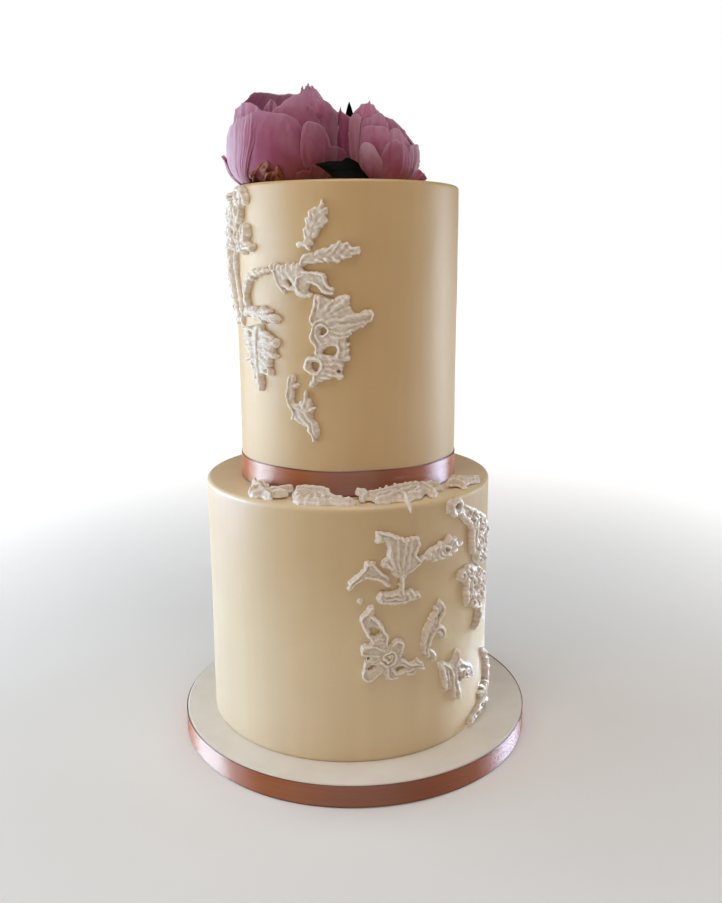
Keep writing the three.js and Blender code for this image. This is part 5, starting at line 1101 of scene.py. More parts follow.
r = Relief(4.5)
r.sheet(K([(3.4, 79.4), (6.0, 80.4), (9.0, 83.4), (14.0, 81.4), (20.0, 79.0), (28.0, 78.6), (34.4, 78.8), (39.6, 81.4), (43.8, 86.0), (43.4, 89.0), (40.0, 87.4), (38.2, 90.0), (37.0, 95.4), (34.6, 97.6), (33.2, 95.0), (33.8, 90.0), (31.6, 92.6), (28.6, 95.6),
           (25.8, 94.8), (24.0, 96.8), (21.4, 97.2), (20.0, 96.0), (18.0, 95.0), (13.8, 96.4), (10.4, 96.6), (10.2, 93.6), (8.6, 90.0), (5.4, 92.0), (4.6, 88.6), (5.2, 84.4)]), 0.52)
for pts, wd in (([(4.4, 80.4), (6.6, 83.6), (7.4, 87.4), (6.0, 91.0)], (1.3, 1.6, 1.7, 1.2)), ([(8.4, 86.0), (13.0, 85.4), (18.6, 82.8), (25.0, 81.0), (32.0, 80.8), (38.4, 83.4), (42.8, 87.4)], (1.4, 1.7, 1.8, 1.8, 1.8, 1.7, 1.3)),
                ([(11.0, 95.4), (15.0, 93.2), (20.0, 89.8), (25.0, 86.6), (30.0, 84.4)], (1.4, 1.8, 1.9, 1.8, 1.4)), ([(21.6, 90.0), (22.4, 93.4), (21.6, 96.8), (21.4, 99.6), (22.2, 102.6)], (1.3, 1.4, 1.1, 0.75, 0.5)), ([(24.6, 91.8), (28.0, 94.0), (30.6, 91.6)], (1.3, 1.5, 1.1)),
                ([(36.0, 84.4), (36.6, 89.6), (34.8, 96.0)], (1.5, 1.7, 1.1)), ([(31.0, 84.0), (31.0, 88.4), (28.0, 91.2)], (1.4, 1.5, 1.2)), ([(12.0, 89.8), (16.0, 88.4), (20.0, 85.8)], (1.3, 1.5, 1.2))):
    r.stroke(K(pts), wd, (0.95, 1.05, 1.0), "dome", n=36)
for b, q in ((13.4, 83.2), (17.6, 80.9), (22.0, 79.9), (27.6, 79.8), (33.0, 80.2), (40.6, 83.6)):
    r.bead((LEDGE_K * b, q), 1.7, 1.08)
r.mesh("sugar_ledge_scroll", "trim_ledge_scroll", on_ledge, seed=143, back=0.05)

r = Relief(4.2)
r.sheet(K([(49.6, 85.6), (52.6, 85.6), (56.6, 82.0), (59.4, 82.4), (60.4, 87.0), (64.0, 91.6), (68.0, 96.4), (66.6, 98.4), (63.0, 97.8), (59.0, 94.6), (55.4, 94.6), (53.4, 97.6), (51.8, 96.0), (53.2, 91.6), (50.4, 88.6)]), 0.52)
for pts, wd in (([(50.6, 86.8), (54.6, 88.4), (59.0, 91.8), (63.4, 96.6)], (1.3, 1.8, 1.8, 1.2)), ([(58.0, 83.2), (58.8, 87.6), (62.0, 92.6), (66.4, 97.0)], (1.2, 1.7, 1.7, 1.2)), ([(54.2, 88.8), (54.4, 93.0), (53.0, 96.4)], (1.3, 1.4, 0.9))):
    r.stroke(K(pts), wd, (0.95, 1.05, 1.0), "dome", n=30)
r.mesh("sugar_ledge_side", "trim_ledge_side", on_ledge, seed=144, back=0.05)


# ---- peonies ----------------------------------------------------------------
EYE = np.array([TIER_X, -619.8, 339.85])      # the front outlines are drawn as seen from here


def even(pts, n):
    """n points evenly spaced along the smooth curve through pts."""
    p = spline(pts, 96)
    d = np.concatenate([[0], np.cumsum(np.linalg.norm(np.diff(p, axis=0), axis=1))])
    t = np.linspace(0, d[-1], n)
    return np.stack([np.interp(t, d, p[:, i]) for i in range(2)], -1)


class Bloom:
    """Overlapping cupped petals on a rounded shell. sides: height, left and right of the shell's outline."""

    def __init__(self, y0, ref, sides, deep=1.0):
        q = spline(sides, 160)
        f = (y0 - EYE[1]) / (ref - EYE[1])
        self.cy, self.ref, self.deep = y0, ref, deep
        self.z = EYE[2] + (q[:, 0] - EYE[2]) * f
        xl, xr = (EYE[0] + (TIER_X + q[:, i] - EYE[0]) * f for i in (1, 2))
        self.m, self.h = (xl + xr) / 2, (xr - xl) / 2
        self.V, self.F, self.UV, self.T, self.n = [], [], [], [], 0

    def mid(self, z):
        return np.interp(z, self.z, self.m)

    def half(self, z):
        return np.interp(z, self.z, self.h)

    def front(self, left, top, right, k=1.0, seed=0, wrap=(0.0, 0.0), tuck=1.3, curl=0.0, pleat=0.0, pleats=5, crinkle=0.0, ruffle=0.3,
              pale_and_lit=0.0, shadow_dim=0.0, flat=None, bulge=0.0, lean=0.10, swing=0.0, crease=0.0, lit_side_falloff=0.0, foot_dimming=0.0, back=False, ns=44, nt=40, thick=0.45):
        """Petal with traced edges: left and right run from the foot up, top from left to right."""
        L, R, T = even(left, nt), even(right, nt), even(top, ns)
        L[-1], R[-1] = T[0], T[-1]
        s, t = np.meshgrid(np.linspace(0, 1, ns), np.linspace(0, 1, nt))
        s3, t3 = s[..., None], t[..., None]
        foot = L[0] * (1 - s3) + R[0] * s3
        P = ((1 - t3) * foot + t3 * T[None] + (1 - s3) * L[:, None] + s3 * R[:, None]
             - ((1 - s3) * (1 - t3) * L[0] + s3 * (1 - t3) * R[0] + (1 - s3) * t3 * T[0] + s3 * t3 * T[-1]))
        x, z = TIER_X + P[..., 0], P[..., 1]
        y = np.full(x.shape, self.cy)
        for _ in range(5):
            f = (y - EYE[1]) / (self.ref - EYE[1])
            X, Z = EYE[0] + (x - EYE[0]) * f, EYE[2] + (z - EYE[2]) * f
            if flat is not None:
                y = flat - bulge * np.sqrt(np.maximum(0, 1 - (2 * s - 1) ** 2)) + lean * (Z - CROWN_Z) + swing * s ** 2
                continue
            A = self.half(Z)
            g = np.sqrt(1 - np.clip((X - self.mid(Z)) / A, -0.995, 0.995) ** 2)
            y = self.cy + 0.45 * (1 - k) * A - k * self.deep * A * g if not back else self.cy - 2.0 + k * self.deep * A * g
        if flat is None and not back:
            m = 8
            for edge, w in ((0, wrap[0]), (-1, wrap[1])):
                if not w:
                    continue
                sg = -1.0 if edge == 0 else 1.0
                d = np.radians(w) * (np.arange(1, m + 1) / m)
                z0 = Z[:, edge:edge + 1] if edge == 0 else Z[:, -1:]
                zz = CROWN_Z + (z0 - CROWN_Z) * (1 - 0.22 * (d / d[-1]) ** 2)
                A = self.half(zz)
                x0 = X[:, :1] if edge == 0 else X[:, -1:]
                th = np.arcsin(np.clip((x0 - self.mid(z0)) / self.half(z0), -0.995, 0.995)) + sg * d
                xx = self.mid(zz) + A * np.sin(th)
                yy = self.cy + 0.45 * (1 - k) * A - k * self.deep * A * np.cos(th)
                if edge == 0:
                    X, y, Z = (np.hstack([a[:, ::-1], b]) for a, b in ((xx, X), (yy, y), (zz, Z)))
                else:
                    X, y, Z = (np.hstack([b, a]) for a, b in ((xx, X), (yy, y), (zz, Z)))
        self.leafing(np.stack([X, y, Z], -1), seed, tuck, curl, pleat, pleats, crinkle, ruffle, pale_and_lit, shadow_dim, thick, crease, lit_side_falloff, foot_dimming)
        return self

    def round(self, b, wide, z0, z1, k=1.0, seed=0, drop=7.0, tuck=1.0, curl=0.0, pleat=0.0, pleats=4, crinkle=0.0, ruffle=0.6, pale_and_lit=0.0,
              shadow_dim=0.0, foot=0.45, lean=0.0, notch=1.2, ns=28, nt=24, thick=0.45):
        """Petal at bearing b (0 is the front), wide degrees to each side, from z0 up to z1."""
        rng = np.random.default_rng(seed + 9)
        ph = rng.uniform(0, 6.28, 5)
        s, t = np.meshgrid(np.linspace(-1, 1, ns), np.linspace(0, 1, nt))
        top = z1 - drop * np.abs(s) ** 2.6 + 0.7 * np.sin(4.1 * s + ph[0]) + 0.5 * np.sin(8.7 * s + ph[1]) + 0.3 * np.sin(17 * s + ph[2])
        top = top - notch * np.exp(-((s - 0.3 * np.sin(ph[3])) / 0.12) ** 2)
        z = z0 + (top - z0) * t
        a = np.radians(b + lean * t) + np.radians(wide) * s * (foot + (1 - foot) * np.sin(np.minimum(1, t / 0.6) * math.pi / 2))
        A = self.half(z) * k
        X, Y = self.mid(z) + A * np.sin(a), self.cy - self.deep * A * np.cos(a)
        self.leafing(np.stack([X, Y, z], -1), seed, tuck, curl, pleat, pleats, crinkle, ruffle, pale_and_lit, shadow_dim, thick)
        return self

    def leafing(self, P, seed, tuck, curl, pleat, pleats, crinkle, ruffle, pale_and_lit, shadow_dim, thick, crease=0.0, lit_side_falloff=0.0, foot_dimming=0.0):
        """Shape a petal's sheet along its own normal, give it thickness and add it."""
        rng = np.random.default_rng(seed)
        ph = rng.uniform(0, 6.28, 10)
        nt, ns = P.shape[:2]
        s, t = np.meshgrid(np.linspace(0, 1, ns), np.linspace(0, 1, nt))

        def normal(P):
            N = np.cross(np.gradient(P, axis=1), np.gradient(P, axis=0))
            return N / np.maximum(1e-9, np.linalg.norm(N, axis=-1, keepdims=True))

        wide = np.linalg.norm(np.diff(P, axis=1), axis=-1).sum(1).max()
        tall = np.linalg.norm(np.diff(P, axis=0), axis=-1).sum(0).max()
        e = np.abs(2 * s - 1)
        d = -tuck * e ** 4 + curl * t ** 7 - crease * (1 - np.abs(2 * t - 1))
        d = d + 0.5 * np.sin(2.6 * s * 2 + 2.2 * t + ph[0]) * np.sin(math.pi * t) + ruffle * t ** 5 * (np.sin(13 * s + ph[1]) + 0.7 * np.sin(23 * s + ph[2]))
        if pleat:
            w = 2 * math.pi * pleats * s + ph[3] + 1.3 * np.sin(3.1 * t + ph[4]) * np.sin(2.2 * s + ph[5])
            d = d + pleat * (0.65 * np.sin(w) + 0.35 * np.sin(1.73 * w + ph[6]) - 0.5 * np.abs(np.sin(0.5 * w + ph[7])) ** 6) * np.clip(t / 0.25, 0, 1)
        if crinkle:
            c = np.sin(31 * s + 9 * t + ph[5]) + np.sin(-23 * s + 27 * t + ph[6]) + 0.8 * np.sin(43 * s - 19 * t + ph[7]) + 0.8 * np.sin(17 * s + 41 * t + ph[8])
            d = d + crinkle * 0.5 * c * np.clip((t - 0.45) / 0.4, 0, 1)
        P = P + normal(P) * d[..., None]
        N = normal(P)
        edge = np.minimum((1 - t) * tall, np.minimum(s, 1 - s) * wide)
        Q = P - N * (thick * (0.35 + 0.65 * np.clip(edge / 3.0, 0, 1)))[..., None]
        F1 = grid_faces(nt, ns)
        n0 = nt * ns
        idx = np.arange(n0).reshape(nt, ns)
        ring = np.concatenate([idx[0, :-1], idx[:-1, -1], idx[-1, :0:-1], idx[:0:-1, 0]])
        nx = np.roll(ring, -1)
        F = np.concatenate([F1, F1[:, ::-1] + n0, np.stack([ring, ring + n0, nx + n0, nx], -1)])
        uv = np.stack([s + rng.uniform(0, 9), t * tall / wide + rng.uniform(0, 9)], -1).reshape(-1, 2)
        # painted light: the third channel's paleness can fall off from the lit left side, and rise from a darker foot
        # as painted shade
        # painted shade: the second channel is lowered on petals that lie in shadow
        tint = np.stack([np.clip(edge / 8.0, 0, 1), np.clip(t - shadow_dim, 0, 1), pale_and_lit * (1 - s) ** lit_side_falloff * np.clip(t / max(foot_dimming, 1e-6), 0, 1) ** 2, np.ones_like(t)], -1).reshape(-1, 4)
        self.V += [P.reshape(-1, 3), Q.reshape(-1, 3)]
        self.F.append(F + self.n)
        self.UV += [uv, uv]
        self.T += [tint, tint]
        self.n += 2 * n0

    def build(self, name, node, mat=None, slot="petal"):
        V = np.vstack(self.V)
        V[:, 2] = np.maximum(V[:, 2], CROWN_Z + 0.25)      # petals that reach the icing lie on it
        ob = make(name, V, np.concatenate(self.F), mat or M_PETAL, uv=np.vstack(self.UV), tint=np.vstack(self.T))
        return done(ob, node)


LEFT_SIDES = [(386, -66, -18), (390, -70.5, -13), (395, -74.3, -9), (400, -76.2, -6.5), (406, -77, -5.2), (412, -77, -5), (418, -76.3, -5), (424, -74.4, -5.2),
              (430, -71.6, -5.6), (434, -69, -8.2), (438, -65.5, -12.4), (441, -62, -15.2), (444, -56, -18), (446.5, -48, -21), (448.5, -40, -27)]
b = Bloom(-8.5, -30.0, LEFT_SIDES)
# heart: tight ruffled petals that fill the middle
for i in range(15):
    b.round(i * 137.5 + 40, 46 - i, 392, 428 + 0.45 * i + 2.5 * math.sin(i * 2.3), k=0.34 + 0.034 * i, seed=200 + i, drop=6, curl=-1.2, ruffle=0.9, tuck=0.8, notch=2.0)
# rows behind and beside, from the inside out
for i, az in enumerate((118, 158, -160, -120, 84)):
    b.round(az, 34, 390, 437 + 1.5 * math.sin(i * 1.7), k=0.88, seed=230 + i, drop=7, pleat=0.3, tuck=1.2)
for i, (az, zt, hw) in enumerate(((138, 433, 36), (-176, 436, 37), (-134, 433, 34), (102, 428, 30))):
    b.round(az, hw, 388.4, zt, k=0.97, seed=250 + i, drop=9, pleat=0.25, tuck=1.4, curl=0.8)
for i, (az, zt, hw) in enumerate(((165, 415, 33), (120, 411, 28), (-150, 413, 33), (-112, 409, 24))):
    b.round(az, hw, 388.2, zt, k=1.015, seed=270 + i, drop=8, pleat=0.35, tuck=1.2, curl=1.2)
# upper back petal and the one before it, seen over the front ones
b.front([(-60, 404), (-69, 418), (-71.6, 428), (-69.4, 433.6), (-65.8, 437.2), (-62.4, 439.8), (-60.6, 441.8)],
        [(-60.6, 441.8), (-58.2, 443.2), (-54, 443.3), (-49, 442.8), (-44, 442.4), (-40, 442.2), (-36, 442.8), (-32.5, 442.3)],
        [(-36, 404), (-35, 420), (-33, 434), (-32.5, 442.3)], k=0.40, back=True, seed=281, tuck=-0.8, curl=-0.8, pleat=0.35, pleats=4, pale_and_lit=0.34)
b.front([(-66, 402), (-73.6, 416), (-73.4, 425), (-71, 431.4)], [(-71, 431.4), (-68.4, 434.8), (-65, 437), (-61, 437.4), (-57.6, 436.2), (-54.6, 433.6)],
        [(-50, 402), (-53, 416), (-54.2, 426), (-54.6, 433.6)], k=0.93, seed=282, pleat=0.35, pleats=4, curl=0.6, pale_and_lit=0.22)
# a furled petal in the hollow behind, darkened with painted shade
b.front([(-50, 412), (-53, 424), (-53.4, 432), (-52, 436.6)], [(-52, 436.6), (-50, 439.4), (-47.4, 440.2), (-45, 438.6), (-43.6, 435.8)],
        [(-42, 412), (-42.6, 424), (-43.6, 435.8)], k=0.62, seed=283, pleat=0.7, pleats=3, curl=-1.5, shadow_dim=0.15, pale_and_lit=0.1)
# middle and upper right, up to the fringed tip
b.front([(-26, 394), (-31, 408), (-33, 421), (-33, 430), (-31.8, 436), (-29.8, 441), (-27.8, 446)],
        [(-27.8, 446), (-27, 448), (-25.6, 447.2), (-24, 448.2), (-22.6, 446.6), (-21.2, 447.9), (-19.8, 446.4), (-18.6, 445.4)],
        [(-8, 394), (-5.8, 404), (-5.4, 414), (-5.2, 424), (-5.6, 430), (-6.8, 432.8), (-8.8, 434.6), (-12, 437.5), (-14.5, 440), (-16.5, 442.4), (-18.6, 445.4)],
        k=0.93, seed=285, wrap=(0, 40), crinkle=0.8, pleat=0.4, pleats=4, ruffle=0.7, curl=-0.6, ns=60, nt=56)
b.front([(-40, 398), (-47, 414), (-49.6, 427), (-48.4, 431.6)],
        [(-48.4, 431.6), (-44.5, 434.3), (-41.5, 436.6), (-38.4, 438.8), (-35, 440.7), (-31.5, 442.5), (-28.8, 444.2), (-26.4, 445.8)],
        [(-12, 398), (-12.4, 412), (-15.4, 425), (-19.4, 434), (-23, 440.4), (-26.4, 445.8)], k=0.955, seed=284, pleat=0.22, pleats=3, curl=0.5, ruffle=0.4, crinkle=0.16, tuck=1.0, ns=56, nt=48)
# front: left, broad middle, right
# painted light: this petal is paled most at its left edge, the lit side
b.front([(-66, 388.4), (-72, 391), (-75.4, 396), (-76.8, 402), (-77, 409), (-76.6, 415.6), (-75.2, 421), (-72.8, 425)],
        [(-72.8, 425), (-69.8, 427.6), (-66.5, 429.6), (-63, 430.7), (-60, 431.8), (-57.6, 432.3)],
        [(-62, 388.4), (-64.4, 393), (-63.8, 399), (-62.2, 405.5), (-60.2, 411), (-58.6, 417), (-57.6, 423), (-57, 428), (-57.6, 432.3)],
        k=1.02, seed=291, wrap=(38, 0), pleat=0.34, pleats=6, tuck=0.9, ruffle=0.5, crinkle=0.18, pale_and_lit=1.0, lit_side_falloff=1.15, ns=64)
b.front([(-59, 388.4), (-65, 394), (-67, 401), (-67.4, 408), (-66.4, 416), (-64, 425), (-60.4, 431)],
        [(-60.4, 431), (-57.4, 432.6), (-53.6, 432.6), (-49, 431.8), (-44, 431.3), (-39.5, 430.7), (-35.5, 429.5), (-31.2, 427.2)],
        [(-20, 388.4), (-17.6, 395), (-18.6, 401), (-21.4, 408), (-24, 414), (-27, 421), (-31.2, 427.2)],
        k=1.0, seed=292, pleat=0.16, pleats=3, tuck=0.9, curl=0.7, crinkle=0.16, ns=64, nt=52)
b.front([(-24, 388.4), (-27, 396), (-29, 404), (-29.4, 411), (-28.9, 416), (-28.4, 421)],
        [(-28.4, 421), (-27, 424.8), (-24.5, 426.4), (-21, 426), (-17.5, 424.5), (-14.3, 422.3), (-11.8, 419.2)],
        [(-16, 388.4), (-11, 396), (-8.8, 403), (-8.4, 408), (-9, 412.4), (-10.2, 416), (-11.8, 419.2)],
        k=1.03, seed=293, tuck=1.1, curl=0.5, pleat=0.16, pleats=3, crinkle=0.14, ns=48)
# low ones at the right, and the small one that stands out at the left, each darkened with painted shade
b.front([(-20, 388.4), (-24, 396), (-25, 403), (-24, 409)], [(-24, 409), (-17, 411), (-9, 411.4), (-3, 410), (0, 407.4)], [(-8, 388.4), (-3, 396), (-0.5, 402), (0, 407.4)],
        k=0.975, seed=294, wrap=(0, 20), tuck=0.8, curl=0.5, shadow_dim=0.3)
b.front([(-33, 388.4), (-33, 392), (-32, 396)], [(-32, 396), (-28, 397), (-24.4, 397), (-22.6, 400), (-20.6, 400.8)], [(-12, 388.4), (-14, 393), (-17, 397.4), (-20.6, 400.8)],
        k=1.03, seed=295, tuck=0.6, curl=0.9, shadow_dim=0.35)
b.round(-97, 15, 388.2, 408.5, k=1.05, seed=296, drop=5, pleat=0.3, curl=1.0, shadow_dim=0.1)
# petals in the gap between the blooms, darkened with painted shade
b.front([(-14, 389), (-11, 404), (-9.4, 418), (-7.4, 428), (-5.4, 431.8)], [(-5.4, 431.8), (-4.3, 432.8), (-3.6, 435.4), (-2.8, 432.6), (-1, 431.2), (0.8, 430.2), (3.4, 428.6)],
        [(4.6, 389), (4.4, 404), (4.0, 418), (3.4, 428.6)], flat=-1.0, bulge=3.0, seed=297, pleat=0.7, pleats=3, shadow_dim=0.3, tuck=0.4)
b.build("peony_left_bloom", "peony_left")

# a wilted, browned petal tucked under the front of the left bloom
b = Bloom(-8.5, -30.0, LEFT_SIDES)
b.front([(-61, 388.4), (-61.4, 391), (-59.8, 394)],
        [(-59.8, 394), (-58.4, 397.4), (-56.4, 399.6), (-54.2, 401.6), (-51.8, 402.2), (-49.2, 401.2), (-47.2, 400.6), (-44.6, 399.2), (-42.8, 397.4), (-41, 395.2), (-39.4, 393)],
        [(-37.4, 388.4), (-37.6, 390.4), (-39.4, 393)], k=1.03, seed=298, pleat=1.5, pleats=3, crinkle=0.7, tuck=0.4, curl=-1.6, ruffle=1.2, ns=64, nt=36, thick=0.35)
b.front([(-55, 388.4), (-55.4, 390.6), (-53.6, 393)], [(-53.6, 393), (-52, 395.8), (-49.4, 396.8), (-46.8, 396), (-44.4, 393.6), (-42.8, 391)], [(-41.4, 388.4), (-41.4, 389.6), (-42.8, 391)],
        k=1.07, seed=299, pleat=1.2, pleats=2, crinkle=0.6, tuck=0.4, curl=1.6, ruffle=1.0, thick=0.35)
b.build("peony_left_wilted", None, M_WILT)

b = Bloom(-14.0, -25.0, [(386, 12, 40), (390, 8, 43.5), (395, 5, 45.4), (400, 3.4, 46.6), (406, 2.2, 47.4), (411, 1.8, 47), (415, 1.7, 44), (419, 1.7, 40.6), (423, 1.8, 37),
                         (427, 2.2, 32), (430, 3.2, 27.5), (433, 5, 23.5), (436, 8, 19.6), (438, 11, 17), (440, 13, 15.6)])
for i in range(10):
    b.round(i * 137.5 + 10, 48 - i, 391, 422 + 0.5 * i + 2 * math.sin(i * 2.1), k=0.36 + 0.045 * i, seed=300 + i, drop=5, curl=-0.8, ruffle=0.7, tuck=0.6, notch=1.6)
for i, az in enumerate((110, 150, -165, -125)):
    b.round(az, 36, 389, 431 + 1.2 * math.sin(i * 2.3), k=0.90, seed=320 + i, drop=6, pleat=0.25, tuck=0.9)
for i, (az, zt, hw) in enumerate(((132, 424, 34), (-172, 427, 36), (-120, 424, 32))):
    b.round(az, hw, 388.4, zt, k=0.985, seed=340 + i, drop=7, pleat=0.25, tuck=1.0, curl=0.6)
for i, (az, zt, hw) in enumerate(((160, 408, 32), (-145, 410, 32), (112, 404, 24))):
    b.round(az, hw, 388.2, zt, k=1.03, seed=350 + i, drop=6, pleat=0.3, tuck=0.9, curl=0.9)
# back rim, crown and the rows in front of it
# painted shade: the back rim petal is darkened
b.front([(16, 402), (17, 418), (19, 429), (20.4, 434.2)], [(20.4, 434.2), (22, 432.9), (24.6, 430.8), (27, 429), (30, 427.4), (33, 425.4), (36, 422.6), (38.2, 420.4), (39.6, 418.2)],
        [(38, 398), (41.6, 406), (41, 412), (39.6, 418.2)], k=0.80, seed=361, tuck=0.5, crinkle=0.4, ruffle=0.4, shadow_dim=0.3)
b.front([(10, 400), (5, 413), (3.4, 424), (4.6, 431.4), (6.4, 434), (8, 435.8)], [(8, 435.8), (10, 436.9), (12.4, 437.4), (13.8, 438.2), (15, 439.6), (15.6, 437.4), (17.8, 436.4), (20.2, 434.5)],
        [(22, 400), (25, 413), (24.6, 424), (22.6, 430.6), (20.2, 434.5)], k=0.88, seed=362, wrap=(25, 0), tuck=0.9, curl=0.5, pleat=0.25, pleats=3)
b.front([(11, 400), (8.8, 413), (8.4, 422), (9.4, 427)], [(9.4, 427), (12, 428.4), (15, 429), (17.4, 430.8), (19.4, 431.6), (22, 431), (24.6, 429), (26.8, 426)],
        [(26, 400), (28.6, 412), (28.4, 420), (26.8, 426)], k=0.935, seed=363, tuck=0.9, curl=0.6, pleat=0.25, pleats=4)
b.front([(25, 396), (26.4, 408), (27, 416.6), (28.4, 421.6)], [(28.4, 421.6), (30.6, 423), (33.6, 421.8), (36.4, 419), (38.8, 416), (41, 413)], [(36, 394), (42, 402), (42.6, 408), (41, 413)],
        k=0.955, seed=364, wrap=(0, 25), tuck=0.8, curl=0.6, pleat=0.35, pleats=4, pale_and_lit=0.2)
b.front([(10, 388.4), (5.4, 395), (2.8, 403), (1.9, 411), (1.7, 419), (2, 426), (3, 429.8)], [(3, 429.8), (5, 431.5), (7.4, 431.8), (9.6, 430)],
        [(14, 388.4), (9.4, 397), (8.3, 405), (7.9, 412), (7.9, 418), (8.5, 424), (9.6, 430)], k=0.99, seed=365, wrap=(40, 0), tuck=0.7, pleat=0.4, pleats=2, pale_and_lit=0.22, ns=36)
b.front([(11, 392), (8.8, 402), (8.4, 412), (8.8, 418), (9.6, 423)], [(9.6, 423), (12, 423.9), (16, 424.2), (20, 424.2), (24, 423.7), (26.6, 422.3), (28.2, 419.8)],
        [(25, 392), (29, 402), (30, 409), (29.6, 415), (28.2, 419.8)], k=1.0, seed=366, tuck=0.9, curl=0.7, pleat=0.15, pleats=3)
b.front([(32, 388.4), (39, 395), (40.6, 402), (40.4, 407), (40.6, 411)], [(40.6, 411), (42, 412.4), (44, 413.2), (46, 412.8), (47.2, 410)], [(40, 388.4), (45, 394), (46.6, 400), (47.5, 405), (47.2, 410)],
        k=0.99, seed=367, wrap=(0, 45), tuck=0.5, pleat=0.55, pleats=3, pale_and_lit=0.35)
b.front([(23, 388.4), (21.6, 396), (21.8, 403), (23.4, 408), (26, 412.6)], [(26, 412.6), (28.6, 415), (31.6, 415.7), (34.6, 414.6), (37.6, 412.6), (40.2, 410.4)],
        [(35, 388.4), (40, 393), (42.2, 399), (42, 405), (40.2, 410.4)], k=1.035, seed=368, tuck=0.9, curl=0.7, pleat=0.35, pleats=4)
# painted shade: this pale petal darkens towards its foot
b.front([(12.6, 388.4), (9.4, 395), (8.4, 402), (8.1, 408), (8.8, 412)], [(8.8, 412), (11, 414), (14, 414.3), (17, 412.9), (19, 410.3), (21, 406.6)],
        [(21, 388.4), (23.4, 394), (23.9, 399), (23, 403), (21, 406.6)], k=1.05, seed=369, tuck=1.0, curl=0.5, pleat=0.2, pleats=2, pale_and_lit=0.55, foot_dimming=0.85)
# a small fallen-open petal at the foot, on the right, darkened with painted shade
b.front([(39, 388.2), (42.6, 392), (45, 396.6)], [(45, 396.6), (47, 397.5), (49.6, 395.9), (51.6, 393.6), (53, 391.2)], [(45, 388.2), (49.6, 388.6), (53, 391.2)],
        flat=-24.0, bulge=2.5, seed=370, pleat=0.5, pleats=3, tuck=0.2, shadow_dim=0.25)
b.build("peony_right_bloom", "peony_right")


# ---- leaves -----------------------------------------------------------------
def blade(name, node, foot, tip, side, w, droop=0.0, fold=0.22, ns=19, nt=40, teeth=0.0):
    a, e, sd = (np.array(q, float) for q in (foot, tip, side))
    along = e - a
    sd = sd / np.linalg.norm(sd)
    up = np.cross(along, sd)
    up /= np.linalg.norm(up)
    S, T = np.meshgrid(np.linspace(-1, 1, ns), np.linspace(0, 1, nt))
    hw = w * np.sin(math.pi * np.clip(0.10 + 0.90 * T, 0, 0.9995)) ** 0.8
    hw = hw * (1 + teeth * np.sin(T * 60))
    off = fold * np.abs(S) * hw + 0.5 * np.sin(9 * T + 2 * S) * 0.5 - droop * T ** 2
    P = a + T[..., None] * along + (S * hw)[..., None] * sd + off[..., None] * up
    Q = P - up * 0.45
    P, Q = P.reshape(-1, 3), Q.reshape(-1, 3)
    F1 = grid_faces(nt, ns)
    n0 = ns * nt
    idx = np.arange(n0).reshape(nt, ns)
    ring = np.concatenate([idx[0, :-1], idx[:-1, -1], idx[-1, :0:-1], idx[:0:-1, 0]])
    nx = np.roll(ring, -1)
    F = np.concatenate([F1, F1[:, ::-1] + n0, np.stack([ring, ring + n0, nx + n0, nx], -1)])
    uv = np.stack([S * 0.5 + 0.5, T * 3], -1).reshape(-1, 2)
    V = np.vstack([P, Q]) + np.array([TIER_X, 0.0, CROWN_Z + 0.3])
    V[:, 2] = np.maximum(V[:, 2], CROWN_Z + 0.2)
    ob = make(name, V, F, M_SHADOWED_LEAF, uv=np.vstack([uv, uv]))
    return done(ob, node)


# the front leaf grows from under the right bloom, its tip to the left
b = Bloom(-8.5, -30.0, LEFT_SIDES)
b.front([(-5, 388.4), (-9, 391.6), (-14.6, 396.6), (-20.5, 400.5)],
        [(-20.5, 400.5), (-13, 402), (-6.6, 402.2), (-3, 402.4), (-1, 403.8), (1, 404.2), (4, 403.2), (8, 401), (9.5, 398), (11.5, 395.2), (13.5, 392.8), (16, 391), (18.5, 390.2), (21, 390)],
        [(21, 388.4), (21.1, 389.2), (21, 390)], flat=-50.5, bulge=1.2, lean=0.42, swing=18.0, crease=0.9, seed=398, tuck=0.3, ruffle=0.15, ns=64, nt=32)
b.build("peony_leaf_front", "leaf_front", M_SHADOWED_LEAF, "leaf")
blade("peony_leaf_back", "leaf_back", (3.2, 15, 1.4), (2.0, 12, 57), (1, 0, 0.05), 5.6, droop=4.0)


# ---- camera -----------------------------------------------------------------
F_PX, W_PX, H_PX = 873.317, 722, 903
pitch, yaw, roll = math.radians(12.3605), math.radians(0.8531), math.radians(-0.1692)
fwd = np.array([math.sin(yaw) * math.cos(pitch), math.cos(yaw) * math.cos(pitch), -math.sin(pitch)])
right = np.cross(fwd, [0, 0, 1.0])
right /= np.linalg.norm(right)
upv = np.cross(right, fwd)
r2 = math.cos(roll) * right + math.sin(roll) * upv
u2 = -math.sin(roll) * right + math.cos(roll) * upv
cam_data = bpy.data.cameras.new("camera")
cam_data.sensor_width = 36.0
cam_data.lens = F_PX / H_PX * 36.0
cam_data.clip_end = 50.0
cam = bpy.data.objects.new("camera", cam_data)
mw = Matrix.Identity(4)
for i in range(3):
    mw[i][0], mw[i][1], mw[i][2] = r2[i], u2[i], -fwd[i]
mw[0][3], mw[1][3], mw[2][3] = -0.004172, -0.619808, 0.339852
cam.matrix_world = mw
scene.collection.objects.link(cam)
scene.camera = cam


